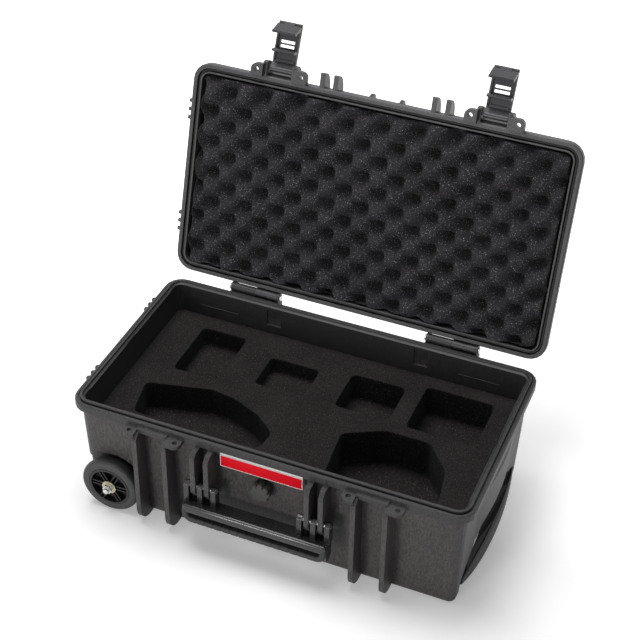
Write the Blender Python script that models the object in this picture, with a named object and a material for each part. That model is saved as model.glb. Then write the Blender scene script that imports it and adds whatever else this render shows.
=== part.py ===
"""Wheeled hard camera case, lying on its back with the lid open, as an assembly of separate pieces.

Frame: +X runs along the case to the end with the pull-out handle, +Y to the hinges, +Z up.
The origin is the middle of the flat underside, on the floor. All sizes are in metres.
The lid and what it carries are drawn as if closed, and one empty on the hinge axis opens them.
"""

import math

import bpy
import bmesh
from mathutils import Vector

# Driving dimensions of the whole case
CASE_LENGTH = 0.5492
CASE_WIDTH = 0.3024
BASE_HEIGHT = 0.170
LID_HEIGHT = 0.033
CORNER_RADIUS = 0.0245
LID_OPEN_ANGLE = 106.6
FIT_GAP = 0.0003
OVERRUN = 0.004

# Facet counts
CORNER_STEPS = 5
FILLET_STEPS = 3
ROUND_SIDES = 24
PIN_SIDES = 12
TYRE_SIDES = 36

# Walls and rims, as insets from the rim's outline
RIM_OVERHANG = 0.0085
RIM_DEPTH = 0.013
RIM_BEVEL = 0.0015
BASE_FOOT_INSET = 0.0145
BASE_EDGE_RADIUS = 0.008
INNER_INSET = 0.0132
WALL = 0.0045
FLOOR_TOP = 0.025
FLOOR_FILLET = 0.010
GROOVE_INSET = 0.0042
GROOVE_WIDTH = 0.0024
GROOVE_DEPTH = 0.0025
TONGUE_WIDTH = 0.0040
TONGUE_HEIGHT = 0.0030
RIM_GAP = 0.0004

# Lid shell and its foam and seal
LID_EDGE_RADIUS = 0.009
LID_CEILING = 0.004
LID_SHOULDER = 0.0120
LID_PANEL_END = 0.0746
LID_PANEL_SIDE = 0.0662
LID_PANEL_LENGTH = CASE_LENGTH - 2 * LID_PANEL_END
LID_PANEL_WIDTH = CASE_WIDTH - 2 * LID_PANEL_SIDE
LID_PANEL_RADIUS = 0.020
LID_PANEL_DEPTH = 0.0012
LID_BAND_END = 0.0300
LID_BAND_LENGTH = LID_PANEL_LENGTH - 2 * LID_BAND_END
LID_BAND_WIDTH = 0.010
LID_BAND_COUNT = 4
LID_BAND_PITCH = LID_PANEL_WIDTH / (LID_BAND_COUNT + 1)
SEAL_RADIUS = 0.0020
SEAL_GROOVE_DEPTH = 0.0072
SEAL_SIDES = 6
EGG_PITCH_X = 0.050
EGG_PITCH_Y = 0.041
EGG_CELLS = 4
EGG_PEAK_X = 0.017
EGG_PEAK_Y = 0.008
EGG_BACK = 0.009
EGG_RISE = 0.022
EGG_CLEARANCE = 0.0006

# Hinges: lid ear, base barrel, lid barrel and base ear on one steel pin
HINGE_OFFSET = 0.0076
HINGE_RAISE = 0.0030
HINGE_Y = CASE_WIDTH / 2 + HINGE_OFFSET
HINGE_Z = BASE_HEIGHT + HINGE_RAISE
HINGE_CENTRE = 0.147
HINGE_BARREL_RADIUS = 0.0062
HINGE_EAR_RADIUS = 0.0072
HINGE_BARREL_LENGTH = 0.0330
HINGE_EAR = 0.0035
HINGE_SIDE_GAP = 0.0004
HINGE_PIN_RADIUS = 0.0025
HINGE_HEAD_RADIUS = 0.0042
HINGE_HEAD = 0.0018
HINGE_BLOCK_DROP = 0.0190
HINGE_STOP_SPAN = 0.0085
HINGE_WEB = 0.0075

# Outer ribs, at these distances either side of the middle
RIB_REACH = 0.0155
RIB_FRONT = CASE_WIDTH / 2 + RIB_REACH
LATCH_CENTRE = 0.1505
LATCH_RIB_SPACE = 0.0420
LATCH_RIB_INNER = LATCH_CENTRE - LATCH_RIB_SPACE / 2
LATCH_RIB_OUTER = LATCH_CENTRE + LATCH_RIB_SPACE / 2
LATCH_RIB_WIDTH = 0.0065
LATCH_RIB_FOOT = 0.0270
LATCH_RIB_LOW = 0.0008
LATCH_RIB_TUCK = 0.0020
HANDLE_RIB_INNER = 0.069
HANDLE_RIB_OUTER = 0.088
HANDLE_RIB_WIDTH = 0.0066
HANDLE_RIB_DROP = 0.0260
HANDLE_RIB_EXTRA = 0.0030
RIB_TOP_DROP = 0.0125
RIB_CHAMFER = 0.007
REAR_RIB_OFFSET = 0.026
REAR_RIB_REACH = 0.0165
REAR_RIB_FOOT = 0.0120
REAR_RIB_ROUND = 0.0120
CATCH_REACH = 0.0060
CATCH_DROP = 0.0060
CATCH_THICK = 0.0065
CATCH_TOP = BASE_HEIGHT - CATCH_DROP
CATCH_BOTTOM = CATCH_TOP - CATCH_THICK
PADLOCK_LEFT = 0.0300
PADLOCK_RIGHT = 0.0345
PADLOCK_REACH = 0.0090
PADLOCK_Y = CASE_WIDTH / 2 + PADLOCK_REACH
PADLOCK_TAB_RADIUS = 0.0080
PADLOCK_HOLE_RADIUS = 0.0034
PADLOCK_TAB = 0.0052
PADLOCK_DROP = 0.0080
PADLOCK_LEVEL = BASE_HEIGHT - PADLOCK_DROP
END_RIDGE_FIRST = 0.0700
END_RIDGE_PITCH = 0.0120
END_RIDGE_COUNT = 3
END_RIDGE_WIDTH = 0.0040
END_RIDGE_REACH = 0.0045
FIN_FIRST = 0.0210
FIN_WIDTH = 0.0050
FIN_REACH = 0.0025
LARGE_FIN_REACH = 0.0198
WALL_RECESS_X = 0.110
WALL_RECESS_WIDTH = 0.021
WALL_RECESS_DEPTH = 0.0022
WALL_RECESS_DROP = 0.0060
WALL_RECESS_HEIGHT = 0.0255
WALL_RECESS_TOP = BASE_HEIGHT - WALL_RECESS_DROP
WALL_RECESS_BOTTOM = WALL_RECESS_TOP - WALL_RECESS_HEIGHT
WALL_LINE_NEAR = 0.1650
WALL_LINE_FAR = 0.2240
WALL_LINE_DROP = 0.0290
WALL_LINE = 0.0016
WALL_LINE_REACH = 0.0010

# Latches, in closed-lid places; each stands off the lid by its open angle
LATCH_PIVOT_REACH = 0.0100
LATCH_PIVOT_RAISE = 0.0100
LATCH_PIVOT_Y = CASE_WIDTH / 2 + LATCH_PIVOT_REACH
LATCH_PIVOT_Z = BASE_HEIGHT + LATCH_PIVOT_RAISE
LATCH_OPEN_ANGLE = 98.0
LATCH_LEVER_ANGLE = 120.0
LATCH_LENGTH = 0.0620
LATCH_OFFSET = 0.0065
LATCH_WIDTH = 0.0335
LATCH_PLATE = 0.0045
LATCH_RAIL = 0.0032
LATCH_EYE_RADIUS = 0.0046
LATCH_PIN_RADIUS = 0.0018
LEVER_PIN_RADIUS = 0.0011
LATCH_HOOK_DROP = 0.0273
LATCH_HOOK_WIDTH = 0.0330
LATCH_HOOK_REACH = 0.0075
LATCH_HOOK_THICK = 0.0034
LATCH_SLOT_WIDTH = 0.0210
LATCH_SLOT = 0.0040
LATCH_BAR = 0.0022
LATCH_LOW_GROOVE = 0.0022
LATCH_GROOVE_DEPTH = 0.0010
LEVER_LENGTH = 0.0260
LEVER_START = 0.0056
LEVER_FLANGE = 0.0022
LEVER_FLANGE_DROP = 0.0018
LEVER_WIDTH = 0.0340
LEVER_PLATE = 0.0040
LEVER_KNUCKLE_WIDTH = 0.0150
LEVER_LIP = 0.0030
CHEEK_WIDTH = 0.0060
CHEEK_NOSE = 0.0100
CHEEK_STEPS = 5
BACKING_REACH = 0.0028
BACKING_TOP = 0.0200

# Front carry handle, hanging from its pins
HANDLE_PIVOT_REACH = 0.0130
HANDLE_PIVOT_DROP = 0.0680
HANDLE_PIVOT_Y = CASE_WIDTH / 2 + HANDLE_PIVOT_REACH
HANDLE_PIVOT_Z = BASE_HEIGHT - HANDLE_PIVOT_DROP
HANDLE_RIB_BOTTOM = HANDLE_PIVOT_Z - HANDLE_RIB_DROP
HANDLE_PIN_RADIUS = 0.0024
HANDLE_ARM_WIDTH = 0.0070
HANDLE_ARM_DEPTH = 0.0120
HANDLE_ARM_PITCH = 0.0190
HANDLE_HALF_LENGTH = 0.1010
HANDLE_ARM_LENGTH = 0.0230
HANDLE_HEIGHT = 0.0320
HANDLE_TOP = HANDLE_PIVOT_Z - HANDLE_ARM_LENGTH
HANDLE_BOTTOM = HANDLE_TOP - HANDLE_HEIGHT
HANDLE_BACK_GAP = 0.0065
HANDLE_DEPTH = 0.0235
HANDLE_BACK = CASE_WIDTH / 2 + HANDLE_BACK_GAP
HANDLE_FRONT = HANDLE_BACK + HANDLE_DEPTH
HANDLE_RIDGE_RADIUS = 0.0046
HANDLE_PLATE = 0.0060
HANDLE_SLOT = 0.0042
HANDLE_END = 0.0080
HANDLE_WEB_SETBACK = 0.0075
HANDLE_WEB = 0.0060
HANDLE_WEB_BACK = HANDLE_BACK + HANDLE_WEB_SETBACK
HANDLE_WEB_FRONT = HANDLE_WEB_BACK + HANDLE_WEB
HANDLE_BOW = 0.0030
GRIP_RIBS = 11
GRIP_RIB_DEPTH = 0.0008
HANDLE_SWING = 95.0

# Name plate and pressure valve on the front wall
PLATE_HALF_LENGTH = 0.0565
PLATE_DROP = 0.0098
PLATE_HEIGHT = 0.0217
PLATE_TOP = BASE_HEIGHT - PLATE_DROP
PLATE_BOTTOM = PLATE_TOP - PLATE_HEIGHT
PLATE_PROUD = 0.0006
PLATE_EDGE = 0.0012
PLATE_TOP_EDGE = 0.0054
PLATE_GROOVE = 0.0011
PLATE_GROOVE_DEPTH = 0.0012
CARD_THICK = 0.0006
VALVE_DROP = 0.0560
VALVE_Z = BASE_HEIGHT - VALVE_DROP
VALVE_HOLE_RADIUS = 0.0063
VALVE_FLANGE_RADIUS = 0.0105
VALVE_FLANGE = 0.0030
VALVE_NECK_RADIUS = 0.0060
VALVE_NUT_RADIUS = 0.0110
VALVE_NUT = 0.0050
KNOB_RADIUS = 0.0140
KNOB_THICK = 0.0125
KNOB_LOBES = 8
KNOB_LOBE_DEPTH = 0.0014
KNOB_SPINDLE_RADIUS = 0.0028
KNOB_SPINDLE = 0.0085
VALVE_ROOM = 0.0125
VALVE_ROOM_DEPTH = 0.0245

# Wheels in their arches at the -X end
WHEEL_INSET = 0.0539
WHEEL_RADIUS = 0.0415
WHEEL_PROUD = 0.0060
WHEEL_X = CASE_LENGTH / 2 - WHEEL_INSET
WHEEL_Z = WHEEL_RADIUS
WHEEL_FACE = CASE_WIDTH / 2 + WHEEL_PROUD
WHEEL_WIDTH = 0.0250
TYRE_SHOULDER = 0.0050
HUB_RADIUS = 0.0297
HUB_RIM = 0.0030
HUB_WEB = 0.0040
HUB_BOSS_RADIUS = 0.0095
HUB_BOSS_RECESS = 0.0010
HUB_SPOKE_PAIRS = 6
HUB_SPOKE_WIDTH = 0.0016
HUB_SPOKE_SPREAD = 0.0026
HUB_SPOKE_RECESS = 0.0020
BUSH_RADIUS = 0.0058
AXLE_RADIUS = 0.0040
AXLE_END = 0.0050
AXLE_HEAD_RADIUS = 0.0070
AXLE_HEAD = 0.0050
WASHER_RADIUS = 0.0102
WASHER_THICK = 0.0014
NUT_RADIUS = 0.0068
NUT_THICK = 0.0050
ARCH_GAP = 0.0031
ARCH_RADIUS = WHEEL_RADIUS + ARCH_GAP
ARCH_LEFT_RISE = 0.0300
ARCH_LEFT_TOP = WHEEL_Z + ARCH_LEFT_RISE
ARCH_DEPTH = 0.0310
ARCH_WALL = 0.0040
END_ROUND_RADIUS = 0.0380

# Pull-out handle: pocket, tubes and grip at the +X end
POCKET_END = 0.1066
POCKET_SIDE = 0.0452
POCKET_LEFT = -CASE_LENGTH / 2 + POCKET_END
POCKET_HALF_WIDTH = CASE_WIDTH / 2 - POCKET_SIDE
POCKET_TOP = 0.0205
COVER_MARGIN = 0.0100
COVER_THICK = 0.0030
COVER_CORNER = 0.0080
COVER_BEAD = 0.0040
COVER_BEAD_DEPTH = 0.0009
COVER_BEAD_PITCH = 0.0440
COVER_BEAD_PAIRS = 2
SCREW_RADIUS = 0.0018
SCREW_HEAD_RADIUS = 0.0034
SCREW_HEAD = 0.0018
SCREW_LENGTH = 0.0110
SCREW_INSET = 0.0050
RECESS_DEPTH = 0.0370
RECESS_SIDE = 0.0332
RECESS_BACK = CASE_LENGTH / 2 - RECESS_DEPTH
RECESS_HALF_TOP = 0.0600
RECESS_HALF_NECK = 0.0740
RECESS_HALF_FOOT = CASE_WIDTH / 2 - RECESS_SIDE
RECESS_TOP = 0.0760
RECESS_NECK_Z = 0.0480
RECESS_FOOT_Z = 0.0260
RECESS_ROUND = 0.0120
END_BULGE_SIDE = 0.0612
END_BULGE_HALF = CASE_WIDTH / 2 - END_BULGE_SIDE
END_BULGE_REACH = 0.0070
END_BULGE_BOTTOM = 0.0620
END_BULGE_DROP = 0.0220
END_BULGE_TOP = BASE_HEIGHT - END_BULGE_DROP
TUBE_SIDE = 0.0892
TUBE_Y = CASE_WIDTH / 2 - TUBE_SIDE
TUBE_Z = 0.0120
TUBE_WIDTH = 0.0240
TUBE_HEIGHT = 0.0155
TUBE_ROUND = 0.0040
TUBE_WALL = 0.0014
TUBE_SLIDE_GAP = 0.0004
TUBE_START = 0.0193
OUTER_TUBE_LENGTH = RECESS_BACK - POCKET_LEFT - TUBE_START
BRIDGE_THICK = 0.0055
BRIDGE_SOCKET = 0.0028
BRIDGE_MARGIN = 0.0040
CLAMP_LENGTH = 0.0160
CLAMP_MARGIN = 0.0040
CLAMP_SETBACK = 0.0460
CLAMP_X = RECESS_BACK - CLAMP_SETBACK
TAIL_X = POCKET_LEFT + TUBE_START
GRIP_SIDE = 0.0382
GRIP_SETBACK = 0.0020
GRIP_BOW = 0.0105
GRIP_TIP = CASE_WIDTH / 2 - GRIP_SIDE
GRIP_APEX = CASE_LENGTH / 2 - GRIP_SETBACK
GRIP_TIP_X = GRIP_APEX - GRIP_BOW
GRIP_THICK = 0.0150
GRIP_TIP_THICK = 0.0030
GRIP_BOTTOM = 0.0060
GRIP_TOP = 0.0350
GRIP_BEVEL = 0.0030
GRIP_STEPS = 16
GRIP_FADE_SHARE = 0.72
GRIP_LEG_WIDTH = 0.0270
GRIP_LEG_BOTTOM = 0.0055
GRIP_LEG_TOP = 0.0200
GRIP_LEG_SETOUT = 0.0068
GRIP_LEG_END = RECESS_BACK + GRIP_LEG_SETOUT
GRIP_SOCKET = 0.0120
TRIGGER_HALF_WIDTH = 0.0220
TRIGGER_BOTTOM = 0.0130
TRIGGER_TOP = 0.0280
TRIGGER_POCKET = 0.0095
TRIGGER_THICK = 0.0065
TRIGGER_TRAVEL = 0.0030
SPRING_RADIUS = 0.0030
SPRING_WIRE = 0.0005
SPRING_TURNS = 3
SPRING_STEPS = 8

# Foam in the base
FOAM_DROP = 0.0440
FOAM_TOP = BASE_HEIGHT - FOAM_DROP
FOAM_GAP = 0.0006
FOAM_SHEET = 0.0050
FOAM_ARCH_GAP = 0.0090
POCKET_ROUND = 0.0080
OBLONG_POCKET_DEPTH = 0.030
SMALL_POCKET_DEPTH = 0.024
SLANTED_POCKET_DEPTH = 0.045
SHORT_POCKET_DEPTH = 0.042
LONG_POCKET_DEPTH = 0.048
WIDE_POCKET_DEPTH = 0.060

# Pocket outlines as shares of the case's half length and half width
OBLONG_POCKET_SHARES = (-0.7505, 0.0714, -0.5029, 0.7196)
SMALL_POCKET_SHARES = (-0.3281, 0.1706, -0.0623, 0.5675)
SHORT_POCKET_SHARES = (0.098, 0.1772, 0.382, 0.6468)
LONG_POCKET_SHARES = (0.4731, 0.164, 0.8263, 0.746)
SLANTED_POCKET_SHARES = (
    (-0.8234, -0.2063),
    (-0.7797, -0.5966),
    (-0.3682, -0.6362),
    (-0.1133, -0.5966),
    (-0.0987, -0.3783),
    (-0.2079, -0.2196),
    (-0.3536, -0.1005),
    (-0.492, -0.0608),
)
WIDE_POCKET_SHARES = (
    (0.2072, -0.1402),
    (0.2363, -0.6693),
    (0.7899, -0.6429),
    (0.7498, -0.2328),
    (0.6224, 0.045),
    (0.3966, 0.045),
)

BLACK = (0.022, 0.022, 0.023)
SOFT_BLACK = (0.030, 0.030, 0.031)
FOAM_GREY = (0.045, 0.044, 0.043)


def clear_scene():
    for old in list(bpy.data.objects):
        bpy.data.objects.remove(old)


def material(name, colour, roughness, metallic=0.0):
    made = bpy.data.materials.new(name)
    made.use_nodes = True
    shader = made.node_tree.nodes["Principled BSDF"]
    shader.inputs["Base Color"].default_value = (*colour, 1.0)
    shader.inputs["Roughness"].default_value = roughness
    shader.inputs["Metallic"].default_value = metallic
    return made


def mesh_object(name, verts, faces, finish=None):
    """An object from points and faces, with its normals turned outwards."""
    mesh = bpy.data.meshes.new(name)
    body = bmesh.new()
    made = [body.verts.new(point) for point in verts]
    for face in faces:
        body.faces.new([made[i] for i in face])
    bmesh.ops.recalc_face_normals(body, faces=body.faces)
    body.to_mesh(mesh)
    body.free()
    obj = bpy.data.objects.new(name, mesh)
    bpy.context.scene.collection.objects.link(obj)
    if finish:
        mesh.materials.append(finish)
    return obj


def rounded_rect(half_x, half_y, radius, steps=CORNER_STEPS):
    """Points of a rounded rectangle round the origin, anticlockwise."""
    points = []
    for sign_x, sign_y, start in ((1, 1, 0), (-1, 1, 90), (-1, -1, 180), (1, -1, 270)):
        for k in range(steps + 1):
            turn = math.radians(start + 90 * k / steps)
            points.append(
                (
                    sign_x * (half_x - radius) + radius * math.cos(turn),
                    sign_y * (half_y - radius) + radius * math.sin(turn),
                )
            )
    return points


def box_outline(low_u, low_v, high_u, high_v):
    return [(low_u, low_v), (high_u, low_v), (high_u, high_v), (low_u, high_v)]


def circle(radius, sides=ROUND_SIDES, u=0.0, v=0.0, start=0.0):
    step = 2 * math.pi / sides
    return [
        (u + radius * math.cos(start + k * step), v + radius * math.sin(start + k * step))
        for k in range(sides)
    ]


def arc(u, v, radius, start, end, steps):
    """Points on an arc from start to end, in degrees."""
    turns = [math.radians(start + (end - start) * k / steps) for k in range(steps + 1)]
    return [(u + radius * math.cos(a), v + radius * math.sin(a)) for a in turns]


def rounded(outline, radius, steps=FILLET_STEPS):
    """The outline with each corner turned into a curve that starts this far from the corner."""
    points = []
    count = len(outline)
    for i, corner in enumerate(outline):
        here = Vector(corner)
        before = Vector(outline[i - 1]) - here
        after = Vector(outline[(i + 1) % count]) - here
        first = here + before.normalized() * min(radius, before.length * 0.45)
        last = here + after.normalized() * min(radius, after.length * 0.45)
        for k in range(steps + 1):
            t = k / steps
            point = first * (1 - t) ** 2 + here * 2 * t * (1 - t) + last * t**2
            points.append((point.x, point.y))
    return points


def placed(axis, u, v, w):
    """A point from its place across an axis (u, v) and along it (w)."""
    if axis == "X":
        return (w, u, v)
    if axis == "Y":
        return (u, w, v)
    return (u, v, w)


def lofted(name, rings, finish=None, closed=False):
    """A skin through rings of points, with end caps, or closed on itself."""
    count = len(rings[0])
    verts = [point for ring in rings for point in ring]
    faces = []
    spans = len(rings) if closed else len(rings) - 1
    for i in range(spans):
        low = i * count
        high = (i + 1) % len(rings) * count
        for k in range(count):
            after = (k + 1) % count
            faces.append((low + k, low + after, high + after, high + k))
    if not closed:
        faces.append(tuple(range(count)))
        faces.append(tuple(range((len(rings) - 1) * count, len(rings) * count)))
    return mesh_object(name, verts, faces, finish)


def prism(name, outline, axis, low, high, finish=None):
    rings = [[placed(axis, u, v, w) for u, v in outline] for w in (low, high)]
    return lofted(name, rings, finish)


def block(name, low, high, finish=None):
    outline = box_outline(low[0], low[1], high[0], high[1])
    return prism(name, outline, "Z", low[2], high[2], finish)


def turned(name, profile, axis, centre, sides, finish=None, closed=False):
    """A shape turned round an axis from (radius, place along the axis) pairs."""
    rings = []
    for radius, along in profile:
        rings.append(
            [
                placed(axis, centre[0] + u, centre[1] + v, along)
                for u, v in circle(radius, sides)
            ]
        )
    obj = lofted(name, rings, finish, closed)
    smooth(obj)
    return obj


def rod(name, axis, centre, radius, low, high, sides=ROUND_SIDES, finish=None):
    return turned(name, [(radius, low), (radius, high)], axis, centre, sides, finish)


def smooth(obj, angle=38.0):
    obj.data.shade_smooth()
    obj.data.set_sharp_from_angle(angle=math.radians(angle))


def joined(name, objects):
    """One mesh from several that don't touch each other."""
    body = bmesh.new()
    for obj in objects:
        body.from_mesh(obj.data)
        bpy.data.objects.remove(obj)
    mesh = bpy.data.meshes.new(name)
    body.to_mesh(mesh)
    body.free()
    made = bpy.data.objects.new(name, mesh)
    bpy.context.scene.collection.objects.link(made)
    return made


def combine(target, tools, operation):
    """Adds or cuts a set of shapes that don't touch each other, and hides them."""
    tool = joined(f"{target.name}_{operation.lower()}_{len(target.modifiers)}", tools)
    tool.hide_render = True
    tool.display_type = "WIRE"
    step = target.modifiers.new(tool.name, "BOOLEAN")
    step.operation = operation
    step.object = tool
    step.solver = "EXACT"


def add(target, *tools):
    combine(target, tools, "UNION")


def cut(target, *tools):
    combine(target, tools, "DIFFERENCE")


def pivot(name, place, parent=None, turn=0.0):
    """An empty on a joint's axis, turned about X by degrees."""
    empty = bpy.data.objects.new(name, None)
    bpy.context.scene.collection.objects.link(empty)
    empty.parent = parent
    empty.location = place
    empty.rotation_euler = (math.radians(turn), 0, 0)
    return empty


def hang(empty, place, *objects):
    """Puts pieces drawn in case places, with their cutters, on an empty that stands at a place."""
    shift = Vector(place)
    for obj in objects:
        for piece in (obj, *[step.object for step in obj.modifiers]):
            for vertex in piece.data.vertices:
                vertex.co -= shift
            piece.parent = empty


def both_sides(*distances):
    return [side * distance for distance in distances for side in (-1, 1)]


# Shapes shared by the base and the lid


def rim_ring(inset, z):
    """The rim's outline drawn in by an inset, at a height."""
    radius = max(CORNER_RADIUS - inset, RIM_BEVEL)
    points = rounded_rect(CASE_LENGTH / 2 - inset, CASE_WIDTH / 2 - inset, radius)
    return [(x, y, z) for x, y in points]


def wall_inset(z):
    """How far the base's outer wall lies inside the rim's outline at a height."""
    top = BASE_HEIGHT - RIM_DEPTH
    share = (z - BASE_EDGE_RADIUS) / (top - BASE_EDGE_RADIUS)
    return BASE_FOOT_INSET + (RIM_OVERHANG - BASE_FOOT_INSET) * share


def wall_middle(z):
    """How far the middle of the base's long walls stands from the middle of the case."""
    return CASE_WIDTH / 2 - wall_inset(z) - WALL / 2


def hinge_spans(centre):
    """The lid ear, base barrel, lid barrel and base ear of a hinge, as pairs of X places."""
    start = centre - HINGE_BARREL_LENGTH - HINGE_EAR - HINGE_SIDE_GAP * 3 / 2
    spans = []
    for length in (HINGE_EAR, HINGE_BARREL_LENGTH, HINGE_BARREL_LENGTH, HINGE_EAR):
        spans.append((start, start + length))
        start += length + HINGE_SIDE_GAP
    return spans


def well_outline(grow):
    """The wheel arch seen from the front, grown outwards by a wall."""
    radius = ARCH_RADIUS + grow
    left = -CASE_LENGTH / 2 - OVERRUN
    top = ARCH_LEFT_TOP + grow
    bottom = -OVERRUN
    meet = math.degrees(math.asin((top - WHEEL_Z) / radius))
    right = arc(-WHEEL_X, WHEEL_Z, radius, 0, 180 - meet, 2 * CORNER_STEPS)
    return [(-WHEEL_X + radius, bottom), *right, (left, top), (left, bottom)]


def recess_outline(grow, bottom):
    """The opening for the pull-out handle, seen from the +X end."""
    half = [
        (RECESS_HALF_FOOT + grow, bottom),
        (RECESS_HALF_FOOT + grow, RECESS_FOOT_Z + grow),
        (RECESS_HALF_NECK + grow, RECESS_NECK_Z + grow),
        (RECESS_HALF_TOP + grow, RECESS_TOP + grow),
    ]
    outline = half + [(-y, z) for y, z in reversed(half)]
    return rounded(outline, RECESS_ROUND)


# Base shell


def base_tub(finish):
    """The moulded tub: outer wall, rim with groove and tongue, and inner wall."""
    rim_bottom = BASE_HEIGHT - RIM_DEPTH
    rings = []
    for k in range(FILLET_STEPS + 1):
        turn = math.radians(90 * k / FILLET_STEPS)
        inset = BASE_FOOT_INSET + BASE_EDGE_RADIUS * (1 - math.sin(turn))
        rings.append(rim_ring(inset, BASE_EDGE_RADIUS * (1 - math.cos(turn))))
    tongue = GROOVE_INSET + GROOVE_WIDTH
    tongue_end = tongue + TONGUE_WIDTH
    tongue_top = BASE_HEIGHT + TONGUE_HEIGHT
    floor_inset = BASE_FOOT_INSET + WALL
    for inset, z in (
        (RIM_OVERHANG, rim_bottom),
        (RIM_BEVEL, rim_bottom),
        (0, rim_bottom + RIM_BEVEL),
        (0, BASE_HEIGHT - RIM_BEVEL),
        (RIM_BEVEL, BASE_HEIGHT),
        (GROOVE_INSET, BASE_HEIGHT),
        (GROOVE_INSET, BASE_HEIGHT - GROOVE_DEPTH),
        (tongue, BASE_HEIGHT - GROOVE_DEPTH),
        (tongue, tongue_top - RIM_BEVEL / 2),
        (tongue + RIM_BEVEL / 2, tongue_top),
        (tongue_end - RIM_BEVEL / 2, tongue_top),
        (tongue_end, BASE_HEIGHT),
        (INNER_INSET, BASE_HEIGHT - RIM_BEVEL),
    ):
        rings.append(rim_ring(inset, z))
    for k in range(FILLET_STEPS + 1):
        turn = math.radians(90 * k / FILLET_STEPS)
        inset = floor_inset + FLOOR_FILLET * (1 - math.cos(turn))
        rings.append(rim_ring(inset, FLOOR_TOP + FLOOR_FILLET * (1 - math.sin(turn))))
    return lofted("base_shell", rings, finish)


def latch_rib(x):
    """A full-height front rib: chamfered top, and a foot that curves in under the wall."""
    top = PADLOCK_LEVEL - PADLOCK_TAB / 2
    foot = LATCH_RIB_FOOT
    round_foot = arc(
        -RIB_FRONT + foot, LATCH_RIB_LOW + foot, foot, 180, 270, 2 * CORNER_STEPS
    )
    tuck = -CASE_WIDTH / 2 + BASE_FOOT_INSET + BASE_EDGE_RADIUS + LATCH_RIB_TUCK
    outline = [
        (-wall_middle(top), top),
        (-RIB_FRONT + RIB_CHAMFER, top),
        (-RIB_FRONT, top - RIB_CHAMFER),
        *round_foot,
        (tuck, LATCH_RIB_LOW),
        (tuck, FLOOR_TOP / 2),
        (-wall_middle(FLOOR_TOP), FLOOR_TOP),
    ]
    half = LATCH_RIB_WIDTH / 2
    return prism("rib", outline, "X", x - half, x + half)


def handle_rib(x):
    """A short front rib that the carry handle swings on."""
    top = BASE_HEIGHT - RIM_DEPTH + RIM_BEVEL
    front = -RIB_FRONT - HANDLE_RIB_EXTRA
    outline = [
        (-wall_middle(top), top),
        (front + RIB_CHAMFER, top),
        (front, top - RIB_CHAMFER),
        (front, HANDLE_PIVOT_Z - RIB_CHAMFER),
        (front + RIB_CHAMFER, HANDLE_RIB_BOTTOM + RIB_CHAMFER),
        (-wall_middle(HANDLE_RIB_BOTTOM), HANDLE_RIB_BOTTOM),
    ]
    half = HANDLE_RIB_WIDTH / 2
    return prism("rib", outline, "X", x - half, x + half)


def rear_rib(x):
    """A rear rib under a hinge."""
    reach = CASE_WIDTH / 2 - RIM_OVERHANG + REAR_RIB_REACH
    top = HINGE_Z - HINGE_BLOCK_DROP + OVERRUN / 2
    outline = [
        (wall_middle(top), top),
        (reach, top),
        (reach, REAR_RIB_FOOT + REAR_RIB_ROUND),
        (reach - REAR_RIB_ROUND, REAR_RIB_FOOT),
        (wall_middle(REAR_RIB_FOOT), REAR_RIB_FOOT),
    ]
    half = LATCH_RIB_WIDTH / 2
    return prism("rib", outline, "X", x - half, x + half)


def padlock_tab(x, toward, root, low, high):
    """A flat ear with a round corner, joined on one side to the rib at toward."""
    radius = PADLOCK_TAB_RADIUS
    side = 1 if toward > x else -1
    corner = arc(x, -PADLOCK_Y, radius, 180, 270, 2 * FILLET_STEPS)
    outline = [(x - radius, root), *corner, (x + abs(toward - x), -PADLOCK_Y - radius)]
    outline.append((x + abs(toward - x), root))
    if side < 0:
        outline = [(2 * x - u, v) for u, v in outline]
    return prism("tab", outline, "Z", low, high)


def padlock_places():
    """Each padlock hole's X place with that of the rib beside it."""
    pairs = []
    for x in both_sides(LATCH_CENTRE):
        pairs.append((x - PADLOCK_LEFT, x - LATCH_RIB_SPACE / 2))
        pairs.append((x + PADLOCK_RIGHT, x + LATCH_RIB_SPACE / 2))
    return pairs


def padlock_hole(x, low, high):
    return rod("hole", "Z", (x, -PADLOCK_Y), PADLOCK_HOLE_RADIUS, low, high, PIN_SIDES)


def end_ridges(low, high):
    """Three short ridges in two groups on the rim at the wheel end."""
    ridges = []
    outer = CASE_LENGTH / 2
    for k in range(END_RIDGE_COUNT):
        for y in both_sides(END_RIDGE_FIRST + k * END_RIDGE_PITCH):
            outline = [
                (-outer + RIM_BEVEL, low),
                (-outer + RIM_BEVEL, high),
                (-outer - END_RIDGE_REACH, high - END_RIDGE_REACH / 2),
                (-outer - END_RIDGE_REACH, low + END_RIDGE_REACH / 2),
            ]
            half = END_RIDGE_WIDTH / 2
            ridges.append(prism("ridge", outline, "Y", y - half, y + half))
    return ridges


def hinge_stop_outline():
    """The block under a hinge, whose sloped top the open lid's web rests on."""
    lean = math.radians(LID_OPEN_ANGLE - 90)
    along = Vector((math.cos(lean), -math.sin(lean)))
    down = Vector((-math.sin(lean), -math.cos(lean)))
    start = Vector((HINGE_Y, HINGE_Z)) + down * (HINGE_BARREL_RADIUS + FIT_GAP)
    back = start + along * HINGE_STOP_SPAN
    front = start - along * HINGE_BARREL_RADIUS
    bottom = HINGE_Z - HINGE_BLOCK_DROP
    root = CASE_WIDTH / 2 - RIM_BEVEL
    foot = CASE_WIDTH / 2 - RIM_OVERHANG - WALL / 2
    shelf = front.y - RIM_BEVEL
    return [
        (foot, bottom - OVERRUN),
        (back.x, bottom),
        (back.x, back.y),
        (front.x, front.y),
        (root, shelf),
        (foot, shelf),
    ]


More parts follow.
